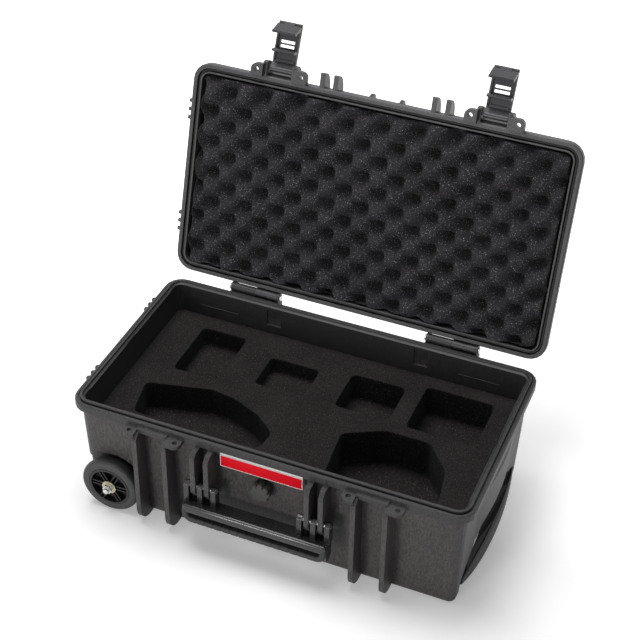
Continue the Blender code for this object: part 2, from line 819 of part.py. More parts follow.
def base_knuckles(centre):
    """The base's barrel and ear, each on a short neck."""
    _, barrel, _, ear = hinge_spans(centre)
    knuckles = []
    for (low, high), radius in ((barrel, HINGE_BARREL_RADIUS), (ear, HINGE_EAR_RADIUS)):
        top_half = arc(HINGE_Y, HINGE_Z, radius, 0, 180, CORNER_STEPS * 2)
        bottom = HINGE_Z - HINGE_BLOCK_DROP / 2
        outline = [
            (HINGE_Y + radius, bottom),
            *top_half,
            (HINGE_Y - radius, bottom),
        ]
        knuckles.append(prism("knuckle", outline, "X", low, high))
    return knuckles


def end_bulge():
    """The bowed band of the +X end wall above the handle opening."""
    rings = []
    for z, reach in (
        (END_BULGE_BOTTOM, END_BULGE_REACH),
        (END_BULGE_TOP - END_BULGE_REACH * 2, END_BULGE_REACH),
        (END_BULGE_TOP, -WALL / 4),
    ):
        wall = CASE_LENGTH / 2 - wall_inset(z)
        ring = []
        for k in range(GRIP_STEPS + 1):
            share = 2 * k / GRIP_STEPS - 1
            bow = (reach + WALL / 2) * (1 - share**2)
            ring.append((wall - WALL / 2 + bow, share * END_BULGE_HALF, z))
        rings.append(ring)
    return lofted("bulge", rings)


def base_shell(finish):
    shell = base_tub(finish)
    shell_end = CASE_LENGTH / 2
    well_inner = WHEEL_FACE - ARCH_DEPTH
    skin = BASE_FOOT_INSET + WALL / 2

    wells = []
    for side in (-1, 1):
        outline = [
            (max(x, skin - shell_end), max(z, BASE_EDGE_RADIUS / 2))
            for x, z in well_outline(ARCH_WALL)
        ]
        near = side * (well_inner - ARCH_WALL)
        far = side * (CASE_WIDTH / 2 - skin)
        wells.append(prism("well", outline, "Y", min(near, far), max(near, far)))
    add(shell, *wells)

    lining = recess_outline(WALL, BASE_EDGE_RADIUS / 2)
    add(shell, prism("lining", lining, "X", RECESS_BACK - WALL, shell_end - skin))
    add(shell, end_bulge())

    ribs = [latch_rib(x) for x in both_sides(LATCH_RIB_INNER, LATCH_RIB_OUTER)]
    ribs += [handle_rib(x) for x in both_sides(HANDLE_RIB_INNER, HANDLE_RIB_OUTER)]
    for x in both_sides(HINGE_CENTRE):
        ribs += [rear_rib(x - REAR_RIB_OFFSET), rear_rib(x + REAR_RIB_OFFSET)]
    add(shell, *ribs)

    blocks = []
    for x in both_sides(HINGE_CENTRE):
        spans = hinge_spans(x)
        low, high = spans[0][0], spans[3][1]
        spread = RIM_BEVEL / 2
        outline = hinge_stop_outline()
        blocks.append(prism("block", outline, "X", low - spread, high + spread))
    catch_root = -CASE_WIDTH / 2 + GROOVE_INSET / 2
    for x in both_sides(LATCH_CENTRE):
        half = (LATCH_RIB_OUTER - LATCH_RIB_INNER) / 2
        reach = -CASE_WIDTH / 2 - CATCH_REACH
        blocks.append(
            block("catch", (x - half, reach, CATCH_BOTTOM), (x + half, catch_root, CATCH_TOP))
        )
    rim_bottom = BASE_HEIGHT - RIM_DEPTH
    blocks += end_ridges(rim_bottom + RIM_BEVEL, BASE_HEIGHT - RIM_BEVEL)
    add(shell, *blocks)

    knuckles = [k for x in both_sides(HINGE_CENTRE) for k in base_knuckles(x)]
    tab_low = PADLOCK_LEVEL - PADLOCK_TAB
    for x, toward in padlock_places():
        knuckles.append(padlock_tab(x, toward, catch_root, tab_low, PADLOCK_LEVEL))
    line_z = BASE_HEIGHT - WALL_LINE_DROP
    inner_wall = wall_middle(line_z) - WALL / 2
    for side in (-1, 1):
        low, high = sorted((side * WALL_LINE_NEAR, side * WALL_LINE_FAR))
        near = inner_wall - WALL_LINE_REACH
        far = inner_wall + WALL / 2
        knuckles.append(block("line", (low, near, line_z), (high, far, line_z + WALL_LINE)))
    add(shell, *knuckles)

    notch = PLATE_HALF_LENGTH + FIT_GAP
    openings = [
        block(
            "plate_seat",
            (-notch, -CASE_WIDTH / 2 - OVERRUN, PLATE_BOTTOM),
            (notch, front_wall_y(PLATE_TOP - RIM_BEVEL), PLATE_TOP + FIT_GAP),
        )
    ]
    for side in (-1, 1):
        near = side * well_inner
        far = side * (RIB_FRONT + OVERRUN)
        outline = well_outline(0)
        openings.append(prism("arch", outline, "Y", min(near, far), max(near, far)))
    opening = recess_outline(0, -OVERRUN)
    openings.append(
        prism("opening", opening, "X", RECESS_BACK, GRIP_APEX + OVERRUN)
    )
    pocket = box_outline(
        POCKET_LEFT, -POCKET_HALF_WIDTH, RECESS_BACK - WALL, POCKET_HALF_WIDTH
    )
    pocket_outline = rounded(pocket, COVER_CORNER)
    openings.append(prism("pocket", pocket_outline, "Z", -OVERRUN, POCKET_TOP))
    for x in both_sides(WALL_RECESS_X):
        half = WALL_RECESS_WIDTH / 2
        inner = CASE_WIDTH / 2 - INNER_INSET
        openings.append(
            block(
                "recess",
                (x - half, inner - OVERRUN, WALL_RECESS_BOTTOM),
                (x + half, inner + WALL_RECESS_DEPTH, WALL_RECESS_TOP),
            )
        )
    cut(shell, *openings)

    corner = [
        (-shell_end - OVERRUN, -OVERRUN),
        (-WHEEL_X, -OVERRUN),
        *arc(-WHEEL_X, WHEEL_Z, END_ROUND_RADIUS, 270, 180, CORNER_STEPS),
        (-shell_end - OVERRUN, WHEEL_Z),
    ]
    tools = [prism("corner", corner, "Y", -well_inner - OVERRUN, well_inner + OVERRUN)]
    for x in both_sides(HINGE_CENTRE):
        spans = hinge_spans(x)
        low, high = spans[0][0] - OVERRUN, spans[3][1] + OVERRUN
        hole = HINGE_PIN_RADIUS + FIT_GAP
        tools.append(rod("hole", "X", (HINGE_Y, HINGE_Z), hole, low, high, PIN_SIDES))
    for x, _ in padlock_places():
        tools.append(padlock_hole(x, tab_low - OVERRUN, PADLOCK_LEVEL + OVERRUN))
    for side in (-1, 1):
        middle = side * (HANDLE_RIB_INNER + HANDLE_RIB_OUTER) / 2
        reach = HANDLE_ARM_PITCH * 3 / 2
        centre = (-HANDLE_PIVOT_Y, HANDLE_PIVOT_Z)
        hole = HANDLE_PIN_RADIUS + FIT_GAP
        low, high = middle - reach, middle + reach
        tools.append(rod("hole", "X", centre, hole, low, high, PIN_SIDES))
    for side in (-1, 1):
        low, high = sorted((side * (well_inner - 2 * OVERRUN), side * (well_inner + OVERRUN)))
        hole = AXLE_RADIUS + FIT_GAP
        centre = (-WHEEL_X, WHEEL_Z)
        tools.append(rod("hole", "Y", centre, hole, low, high, PIN_SIDES))
    valve = rod(
        "hole", "Y", (0, VALVE_Z), VALVE_HOLE_RADIUS,
        -CASE_WIDTH / 2, -CASE_WIDTH / 2 + BASE_FOOT_INSET + 2 * OVERRUN,
    )
    tools.append(valve)
    cut(shell, *tools)

    seats = []
    for y in both_sides(TUBE_Y):
        low, high = RECESS_BACK - WALL - OVERRUN, RECESS_BACK + OVERRUN
        seats.append(prism("seat", tube_outline(y, FIT_GAP), "X", low, high))
    cut(shell, *seats)

    margin = COVER_MARGIN + FIT_GAP
    seat = box_outline(
        POCKET_LEFT - margin,
        -POCKET_HALF_WIDTH - margin,
        RECESS_BACK - WALL,
        POCKET_HALF_WIDTH + margin,
    )
    seat_outline = rounded(seat, COVER_CORNER)
    cut(shell, prism("seat", seat_outline, "Z", -OVERRUN, COVER_THICK + FIT_GAP))
    screw_holes = []
    for x, y in cover_screws():
        hole = SCREW_RADIUS + FIT_GAP
        screw_holes.append(rod("hole", "Z", (x, y), hole, 0, SCREW_LENGTH + OVERRUN, 8))
    cut(shell, *screw_holes)
    smooth(shell, 30)
    return shell


def tube_outline(y, grow, inner=0.0):
    """The section of a handle tube, grown or drawn in from the outer tube's size."""
    half_y = TUBE_WIDTH / 2 + grow - inner
    half_z = TUBE_HEIGHT / 2 + grow - inner
    points = rounded_rect(half_y, half_z, max(TUBE_ROUND - inner, TUBE_WALL), 2)
    return [(y + u, TUBE_Z + v) for u, v in points]


def cover_screws():
    """The places of the cover's screws."""
    inner = SCREW_INSET
    left = POCKET_LEFT - COVER_MARGIN + inner
    side = POCKET_HALF_WIDTH + COVER_MARGIN - inner
    middle = (POCKET_LEFT + RECESS_BACK) / 2
    return [(left, -side / 2), (left, side / 2), (middle, -side), (middle, side)]


# Hinge pins


def hinge_pin(name, centre, finish):
    spans = hinge_spans(centre)
    low = spans[0][0] - HINGE_SIDE_GAP
    high = spans[3][1] + HINGE_SIDE_GAP
    profile = [
        (HINGE_HEAD_RADIUS, low - HINGE_HEAD),
        (HINGE_HEAD_RADIUS, low),
        (HINGE_PIN_RADIUS, low),
        (HINGE_PIN_RADIUS, high),
        (HINGE_HEAD_RADIUS, high),
        (HINGE_HEAD_RADIUS, high + HINGE_HEAD),
    ]
    return turned(name, profile, "X", (HINGE_Y, HINGE_Z), PIN_SIDES, finish)


# Wheels


def hex_nut(name, centre, radius, bore, span, finish):
    nut = prism(name, circle(radius, 6, *centre), "Y", *span, finish)
    cut(nut, rod("bore", "Y", centre, bore, span[0] - OVERRUN, span[1] + OVERRUN, PIN_SIDES))
    return nut


def wheel(side_name, side, finish):
    """Tyre, hub, bush, axle bolt, washer, nut and spacer; side is -1 at the front."""
    centre = (-WHEEL_X, WHEEL_Z)
    face = WHEEL_FACE
    back = WHEEL_FACE - WHEEL_WIDTH
    middle = (face + back) / 2

    def signed(profile):
        return [(radius, side * along) for radius, along in profile]

    shoulder = TYRE_SHOULDER
    hub_outer = HUB_RADIUS + FIT_GAP
    tyre_profile = [
        (hub_outer, face),
        (WHEEL_RADIUS - shoulder, face),
        (WHEEL_RADIUS - shoulder / 3, face - shoulder / 3),
        (WHEEL_RADIUS, face - shoulder),
        (WHEEL_RADIUS, back + shoulder),
        (WHEEL_RADIUS - shoulder, back),
        (hub_outer, back),
    ]
    tyre = turned(
        f"wheel_tyre_{side_name}", signed(tyre_profile), "Y", centre, TYRE_SIDES, finish["tyre"], True
    )

    bore = BUSH_RADIUS + FIT_GAP
    hub_profile = [
        (HUB_RADIUS, face),
        (HUB_RADIUS, back),
        (HUB_RADIUS - HUB_RIM, back),
        (HUB_RADIUS - HUB_RIM, middle - HUB_WEB / 2),
        (HUB_BOSS_RADIUS, middle - HUB_WEB / 2),
        (HUB_BOSS_RADIUS, back),
        (bore, back),
        (bore, face - HUB_BOSS_RECESS),
        (HUB_BOSS_RADIUS, face - HUB_BOSS_RECESS),
        (HUB_BOSS_RADIUS, middle + HUB_WEB / 2),
        (HUB_RADIUS - HUB_RIM, middle + HUB_WEB / 2),
        (HUB_RADIUS - HUB_RIM, face),
    ]
    hub = turned(
        f"wheel_hub_{side_name}", signed(hub_profile), "Y", centre, ROUND_SIDES, finish["hub"], True
    )
    spokes = []
    inner = HUB_BOSS_RADIUS * 0.9
    outer = HUB_RADIUS - HUB_RIM / 2
    low, high = sorted((side * middle, side * (face - HUB_SPOKE_RECESS)))
    for k in range(HUB_SPOKE_PAIRS):
        turn = 2 * math.pi * k / HUB_SPOKE_PAIRS
        for offset in both_sides(HUB_SPOKE_SPREAD):
            half = HUB_SPOKE_WIDTH / 2
            outline = [
                (
                    centre[0] + along * math.cos(turn) - across * math.sin(turn),
                    centre[1] + along * math.sin(turn) + across * math.cos(turn),
                )
                for along, across in box_outline(inner, offset - half, outer, offset + half)
            ]
            spokes.append(prism("spoke", outline, "Y", low, high))
    add(hub, *spokes)

    axle_bore = AXLE_RADIUS + FIT_GAP
    bush_profile = [
        (BUSH_RADIUS, back),
        (BUSH_RADIUS, face - HUB_BOSS_RECESS),
        (axle_bore, face - HUB_BOSS_RECESS),
        (axle_bore, back),
    ]
    bush = turned(
        f"axle_bush_{side_name}", signed(bush_profile), "Y", centre, PIN_SIDES, finish["bush"], True
    )
    washer_low = face - HUB_BOSS_RECESS + FIT_GAP
    washer_profile = [
        (WASHER_RADIUS, washer_low),
        (WASHER_RADIUS, washer_low + WASHER_THICK),
        (axle_bore, washer_low + WASHER_THICK),
        (axle_bore, washer_low),
    ]
    washer = turned(
        f"axle_washer_{side_name}", signed(washer_profile), "Y", centre, PIN_SIDES,
        finish["brass"], True,
    )
    nut_low = washer_low + WASHER_THICK + FIT_GAP
    span = sorted((side * nut_low, side * (nut_low + NUT_THICK)))
    nut = hex_nut(f"axle_nut_{side_name}", centre, NUT_RADIUS, axle_bore, span, finish["brass"])
    well_inner = WHEEL_FACE - ARCH_DEPTH
    spacer_profile = [
        (WASHER_RADIUS, well_inner + FIT_GAP),
        (WASHER_RADIUS, back - FIT_GAP),
        (axle_bore, back - FIT_GAP),
        (axle_bore, well_inner + FIT_GAP),
    ]
    spacer = turned(
        f"axle_spacer_{side_name}", signed(spacer_profile), "Y", centre, PIN_SIDES,
        finish["bush"], True,
    )
    head_high = well_inner - ARCH_WALL - FIT_GAP
    bolt_profile = [
        (AXLE_HEAD_RADIUS, head_high - AXLE_HEAD),
        (AXLE_HEAD_RADIUS, head_high),
        (AXLE_RADIUS, head_high),
        (AXLE_RADIUS, nut_low + NUT_THICK + AXLE_END - AXLE_RADIUS / 4),
        (AXLE_RADIUS * 0.75, nut_low + NUT_THICK + AXLE_END),
    ]
    bolt = turned(
        f"axle_bolt_{side_name}", signed(bolt_profile), "Y", centre, PIN_SIDES, finish["steel"]
    )
    return tyre, hub, bush, washer, nut, spacer, bolt


# Front carry handle


def handle_frame(finish):
    """Arms on the pins, a flat top plate with a round ridge, and a web that the grip wraps."""
    half = HANDLE_HALF_LENGTH
    plate = prism(
        "handle_frame",
        rounded(
            box_outline(-half, -HANDLE_FRONT + HANDLE_RIDGE_RADIUS, half, -HANDLE_BACK),
            HANDLE_END,
        ),
        "Z",
        HANDLE_TOP - HANDLE_PLATE,
        HANDLE_TOP - RIM_BEVEL,
        finish,
    )
    ridge_z = HANDLE_TOP - HANDLE_RIDGE_RADIUS
    steps = 2 * CORNER_STEPS
    rings = []
    for k in range(steps + 1):
        share = 2 * k / steps - 1
        x = share * (half - RIM_BEVEL)
        y = -HANDLE_FRONT + HANDLE_RIDGE_RADIUS + HANDLE_BOW * share**4
        fade = 0.9 if abs(share) > 0.99 else 1.0
        ring = circle(HANDLE_RIDGE_RADIUS * fade, 10, y, ridge_z)
        rings.append([(x, u, v) for u, v in ring])
    add(plate, lofted("ridge", rings))
    ends = []
    for side in (-1, 1):
        low, high = sorted((side * (half - RIM_BEVEL / 2), side * (half - HANDLE_END)))
        outline = rounded(
            box_outline(
                -HANDLE_FRONT + HANDLE_BOW + RIM_BEVEL,
                HANDLE_BOTTOM + RIM_BEVEL,
                -HANDLE_BACK - RIM_BEVEL,
                HANDLE_TOP - HANDLE_PLATE / 2,
            ),
            HANDLE_END,
        )
        ends.append(prism("end", outline, "X", low, high))
    add(plate, *ends)
    web = block(
        "web",
        (-half + HANDLE_END / 2, -HANDLE_WEB_FRONT, HANDLE_BOTTOM + HANDLE_PLATE),
        (half - HANDLE_END / 2, -HANDLE_WEB_BACK, HANDLE_TOP - HANDLE_PLATE / 2),
    )
    add(plate, web)
    arms = []
    holes = []
    depth = HANDLE_ARM_DEPTH / 2
    for side in (-1, 1):
        middle = side * (HANDLE_RIB_INNER + HANDLE_RIB_OUTER) / 2
        for k in (-1, 0, 1):
            x = middle + k * HANDLE_ARM_PITCH
            low, high = x - HANDLE_ARM_WIDTH / 2, x + HANDLE_ARM_WIDTH / 2
            top = arc(-HANDLE_PIVOT_Y, HANDLE_PIVOT_Z, depth, 0, 180, 2 * FILLET_STEPS)
            outline = [
                (-HANDLE_PIVOT_Y + depth, HANDLE_TOP - HANDLE_PLATE / 2),
                *top,
                (-HANDLE_PIVOT_Y - depth, HANDLE_TOP - HANDLE_PLATE / 2),
            ]
            arms.append(prism("arm", outline, "X", low, high))
        reach = HANDLE_ARM_PITCH * 3 / 2
        holes.append(
            rod(
                "hole", "X", (-HANDLE_PIVOT_Y, HANDLE_PIVOT_Z),
                HANDLE_PIN_RADIUS + FIT_GAP, middle - reach, middle + reach, PIN_SIDES,
            )
        )
    add(plate, *arms)
    cut(plate, *holes)
    smooth(plate)
    return plate


def grip_section(shrink, x):
    """The grip's round outline at one place along it."""
    low = HANDLE_BOTTOM + shrink
    high = HANDLE_TOP - HANDLE_PLATE - HANDLE_SLOT
    front = -HANDLE_FRONT + RIM_BEVEL + shrink
    back = -HANDLE_BACK - FIT_GAP
    corner = HANDLE_RIDGE_RADIUS
    outline = rounded(box_outline(front, low, back, high), corner, 2)
    return [(x, y, z) for y, z in outline]


def handle_grip(finish):
    """The soft ribbed grip moulded round the handle's web."""
    end = HANDLE_HALF_LENGTH - HANDLE_END - FIT_GAP
    pitch = 2 * end / GRIP_RIBS
    rings = []
    for k in range(GRIP_RIBS):
        left = -end + k * pitch
        for place, shrink in ((0.02, GRIP_RIB_DEPTH), (0.10, 0.0), (0.90, 0.0), (0.98, GRIP_RIB_DEPTH)):
            rings.append(grip_section(shrink, left + place * pitch))
    grip = lofted("handle_grip", rings, finish)
    slot = block(
        "slot",
        (-end - OVERRUN, -HANDLE_WEB_FRONT - FIT_GAP, HANDLE_BOTTOM + HANDLE_PLATE - FIT_GAP),
        (end + OVERRUN, -HANDLE_WEB_BACK + FIT_GAP, HANDLE_TOP),
    )
    cut(grip, slot)
    smooth(grip)
    return grip


def handle_pin(name, side, finish):
    middle = side * (HANDLE_RIB_INNER + HANDLE_RIB_OUTER) / 2
    reach = HANDLE_ARM_PITCH + HANDLE_ARM_WIDTH / 2
    return rod(
        name, "X", (-HANDLE_PIVOT_Y, HANDLE_PIVOT_Z), HANDLE_PIN_RADIUS,
        middle - reach, middle + reach, PIN_SIDES, finish,
    )


# Name plate and valve


def front_wall_y(z):
    return -CASE_WIDTH / 2 + wall_inset(z)


def name_plate(finish):
    """A shallow white tray set in the rim, with a plain red card in it."""
    back = front_wall_y(BASE_HEIGHT - RIM_DEPTH) - FIT_GAP
    front = -CASE_WIDTH / 2 - PLATE_PROUD
    tray = block(
        "name_plate_tray",
        (-PLATE_HALF_LENGTH, front, PLATE_BOTTOM),
        (PLATE_HALF_LENGTH, back, PLATE_TOP),
        finish["white"],
    )
    edge = PLATE_EDGE
    card_back = front + CARD_THICK + FIT_GAP
    card_top = PLATE_TOP - PLATE_TOP_EDGE
    groove_top = PLATE_TOP - 2 * PLATE_GROOVE
    cut(
        tray,
        block(
            "tray_cut",
            (-PLATE_HALF_LENGTH + edge, front - OVERRUN, PLATE_BOTTOM + edge),
            (PLATE_HALF_LENGTH - edge, card_back, card_top),
        ),
        block(
            "tray_groove",
            (-PLATE_HALF_LENGTH - OVERRUN, front - OVERRUN, groove_top - PLATE_GROOVE),
            (PLATE_HALF_LENGTH + OVERRUN, front + PLATE_GROOVE_DEPTH, groove_top),
        ),
    )
    inset = edge + FIT_GAP
    card = block(
        "name_card",
        (-PLATE_HALF_LENGTH + inset, card_back - FIT_GAP - CARD_THICK, PLATE_BOTTOM + inset),
        (PLATE_HALF_LENGTH - inset, card_back - FIT_GAP, card_top - FIT_GAP),
        finish["red"],
    )
    return tray, card


def valve(finish):
    """Pressure valve: a flanged body through the wall, its nut inside, and a lobed knob."""
    outer = front_wall_y(VALVE_Z)
    face = outer - FIT_GAP - RIM_BEVEL / 2
    inner = outer + WALL + 2 * RIM_BEVEL
    bore = KNOB_SPINDLE_RADIUS + FIT_GAP
    body_profile = [
        (VALVE_FLANGE_RADIUS, face),
        (VALVE_FLANGE_RADIUS, face - VALVE_FLANGE),
        (bore, face - VALVE_FLANGE),
        (bore, inner + VALVE_NUT),
        (VALVE_NECK_RADIUS, inner + VALVE_NUT),
        (VALVE_NECK_RADIUS, face),
    ]
    body = turned("valve_body", body_profile, "Y", (0, VALVE_Z), PIN_SIDES, finish["black"], True)
    span = (inner, inner + VALVE_NUT - RIM_BEVEL)
    nut_bore = VALVE_NECK_RADIUS + FIT_GAP
    nut = hex_nut("valve_nut", (0, VALVE_Z), VALVE_NUT_RADIUS, nut_bore, span, finish["black"])

    knob_back = face - VALVE_FLANGE - FIT_GAP
    rings = []
    count = KNOB_LOBES * 6
    for along, shrink in (
        (knob_back, 0.0),
        (knob_back - KNOB_THICK * 0.85, 0.0),
        (knob_back - KNOB_THICK, KNOB_THICK * 0.15),
    ):
        ring = []
        for k in range(count):
            turn = 2 * math.pi * k / count
            wave = abs(math.cos(turn * KNOB_LOBES / 2))
            radius = KNOB_RADIUS - shrink - KNOB_LOBE_DEPTH * (1 - wave) ** 2 * 2
            ring.append((radius * math.cos(turn), along, VALVE_Z + radius * math.sin(turn)))
        rings.append(ring)
    knob = lofted("valve_knob", rings, finish["gloss"])
    spindle = rod(
        "spindle", "Y", (0, VALVE_Z), KNOB_SPINDLE_RADIUS,
        knob_back - KNOB_THICK / 2, knob_back + KNOB_SPINDLE, PIN_SIDES,
    )
    add(knob, spindle)
    smooth(knob)
    return body, nut, knob


# Foam in the base


def foam_cutter(radius_grow):
    """Room for the wheel arches and the handle opening's lining."""
    tools = []
    well_inner = WHEEL_FACE - ARCH_DEPTH - FOAM_ARCH_GAP - ARCH_WALL
    for side in (-1, 1):
        low, high = sorted((side * well_inner, side * CASE_WIDTH))
        outline = well_outline(ARCH_WALL + radius_grow)
        tools.append(prism("arch_room", outline, "Y", low, high))
    lining = recess_outline(WALL + radius_grow, -OVERRUN)
    low = RECESS_BACK - WALL - radius_grow
    tools.append(prism("lining_room", lining, "X", low, CASE_LENGTH))
    front = -CASE_WIDTH / 2
    tools.append(
        block(
            "valve_room",
            (-VALVE_ROOM, front, VALVE_Z - VALVE_ROOM),
            (VALVE_ROOM, front + VALVE_ROOM_DEPTH, FOAM_TOP + OVERRUN),
        )
    )
    return tools


def foam_ring(z, gap):
    """The tub's inner outline at a height, drawn in by a gap."""
    top = BASE_HEIGHT - RIM_BEVEL
    low = FLOOR_TOP + FLOOR_FILLET
    share = min(max((z - low) / (top - low), 0.0), 1.0)
    inset = BASE_FOOT_INSET + WALL + (INNER_INSET - BASE_FOOT_INSET - WALL) * share
    if z < low:
        sink = (low - z) / FLOOR_FILLET
        inset += FLOOR_FILLET * (1 - math.sqrt(max(1 - sink**2, 0)))
    return rim_ring(inset + gap, z)


def pocket_tool(name, shares, depth):
    """A cutter for a pocket whose outline is given as shares of the case's half sizes."""
    outline = [(u * CASE_LENGTH / 2, v * CASE_WIDTH / 2) for u, v in shares]
    return prism(name, rounded(outline, POCKET_ROUND), "Z", FOAM_TOP - depth, FOAM_TOP + OVERRUN)


def base_foam(finish):
    bottom = FLOOR_TOP + FIT_GAP + FOAM_SHEET + FIT_GAP
    mid = FLOOR_TOP + FLOOR_FILLET
    rings = [foam_ring(z, FOAM_GAP) for z in (bottom, (bottom + mid) / 2, mid, FOAM_TOP)]
    foam = lofted("base_foam", rings, finish)
    cut(foam, *foam_cutter(FOAM_GAP))
    tools = []
    for shares, depth in (
        (OBLONG_POCKET_SHARES, OBLONG_POCKET_DEPTH),
        (SMALL_POCKET_SHARES, SMALL_POCKET_DEPTH),
        (SHORT_POCKET_SHARES, SHORT_POCKET_DEPTH),
        (LONG_POCKET_SHARES, LONG_POCKET_DEPTH),
    ):
        tools.append(pocket_tool("room", box_outline(*shares), depth))
    tools.append(pocket_tool("room", SLANTED_POCKET_SHARES, SLANTED_POCKET_DEPTH))
    tools.append(pocket_tool("room", WIDE_POCKET_SHARES, WIDE_POCKET_DEPTH))
    cut(foam, *tools)
    smooth(foam)
    return foam


def foam_sheet(finish):
    low = FLOOR_TOP + FIT_GAP
    inset = BASE_FOOT_INSET + WALL + FLOOR_FILLET
    rings = [rim_ring(inset, z) for z in (low, low + FOAM_SHEET)]
    sheet = lofted("base_foam_sheet", rings, finish)
    cut(sheet, *foam_cutter(FOAM_GAP))
    return sheet


# Pull-out handle


def tube(name, y, stage, length, finish):
    """One telescopic tube; stage 0 is the outer one. All end at the same place inside the wall."""
    shrink = stage * (TUBE_WALL + TUBE_SLIDE_GAP)
    outer = tube_outline(y, 0, shrink)
    inner = tube_outline(y, 0, shrink + TUBE_WALL)
    end = tube_end(stage)
    rings = [
        [(end - length, u, v) for u, v in outer],
        [(end, u, v) for u, v in outer],
        [(end, u, v) for u, v in inner],
        [(end - length, u, v) for u, v in inner],
    ]
    made = lofted(name, rings, finish, True)
    smooth(made)
    return made


def tube_end(stage):
    if stage == 0:
        return RECESS_BACK - FIT_GAP
    if stage == 1:
        return RECESS_BACK + BRIDGE_SOCKET
    return GRIP_LEG_END + GRIP_SOCKET - FIT_GAP


def stage_bridge(finish):
    """The yoke that joins the two middle tubes and lets the inner tubes through."""
    half_y = TUBE_Y + TUBE_WIDTH / 2 + BRIDGE_MARGIN / 2
    half_z = TUBE_HEIGHT / 2 - TUBE_WALL / 2
    low = RECESS_BACK + FIT_GAP
    outline = rounded(
        box_outline(-half_y, TUBE_Z - half_z, half_y, TUBE_Z + half_z), BRIDGE_MARGIN
    )
    bridge = prism("trolley_stage_bridge", outline, "X", low, low + BRIDGE_THICK, finish)
    holes, sockets = [], []
    step = TUBE_WALL + TUBE_SLIDE_GAP
    for y in both_sides(TUBE_Y):
        hole = tube_outline(y, 0, 2 * step - TUBE_SLIDE_GAP)
        holes.append(prism("hole", hole, "X", low - OVERRUN, low + 2 * OVERRUN))
        socket = tube_outline(y, 0, step - FIT_GAP)
        sockets.append(prism("socket", socket, "X", low - OVERRUN, tube_end(1) + FIT_GAP))
    cut(bridge, *holes)
    cut(bridge, *sockets)
    smooth(bridge)
    return bridge


def tube_clamp(name, x, finish):
    """A saddle over both outer tubes, seated on the pocket's ceiling."""
    half_y = TUBE_Y + TUBE_WIDTH / 2 + CLAMP_MARGIN
    top = POCKET_TOP - FIT_GAP
    outline = box_outline(-half_y, COVER_THICK + 2 * FIT_GAP, half_y, top)
    clamp = prism(name, outline, "X", x - CLAMP_LENGTH / 2, x + CLAMP_LENGTH / 2, finish)
    holes = []
    for y in both_sides(TUBE_Y):
        hole = tube_outline(y, FIT_GAP)
        holes.append(prism("hole", hole, "X", x - CLAMP_LENGTH, x + CLAMP_LENGTH))
    cut(clamp, *holes)
    return clamp


def cover_plate(finish):
    """The flush underside cover over the tubes, with shallow beads."""
    outline = rounded(
        box_outline(
            POCKET_LEFT - COVER_MARGIN,
            -POCKET_HALF_WIDTH - COVER_MARGIN,
            RECESS_BACK - WALL - FIT_GAP,
            POCKET_HALF_WIDTH + COVER_MARGIN,
        ),
        COVER_CORNER,
    )
    cover = prism("bottom_cover", outline, "Z", 0.0, COVER_THICK, finish)
    tools = []
    low_x = POCKET_LEFT + COVER_MARGIN
    high_x = RECESS_BACK - WALL - 2 * COVER_MARGIN
    for k in range(COVER_BEAD_PAIRS):
        for y in both_sides((k + 0.5) * COVER_BEAD_PITCH):
            half = COVER_BEAD / 2
            bead = rounded(box_outline(low_x, y - half, high_x, y + half), half)
            tools.append(prism("bead", bead, "Z", -OVERRUN, COVER_BEAD_DEPTH))
    for x, y in cover_screws():
        hole = SCREW_HEAD_RADIUS + FIT_GAP
        tools.append(rod("hole", "Z", (x, y), hole, -OVERRUN, SCREW_HEAD + FIT_GAP, PIN_SIDES))
    cut(cover, *tools)
    shanks = []
    for x, y in cover_screws():
        hole = SCREW_RADIUS + FIT_GAP
        shanks.append(rod("hole", "Z", (x, y), hole, 0, COVER_THICK + OVERRUN, 8))
    cut(cover, *shanks)
    return cover


def cover_screw(name, x, y, finish):
    profile = [
        (SCREW_HEAD_RADIUS, FIT_GAP),
        (SCREW_HEAD_RADIUS, SCREW_HEAD),
        (SCREW_RADIUS, SCREW_HEAD),
        (SCREW_RADIUS, SCREW_LENGTH),
    ]
    return turned(name, profile, "Z", (x, y), 8, finish)


def grip_curve(share, inner):
    """A point on the bowed grip's outer or inner edge; share runs from -1 to 1."""
    bow = 1 - share**2
    x = GRIP_TIP_X + (GRIP_APEX - GRIP_TIP_X) * bow
    if inner:
        x -= GRIP_TIP_THICK + (GRIP_THICK - GRIP_TIP_THICK) * bow
    return (x, share * GRIP_TIP)


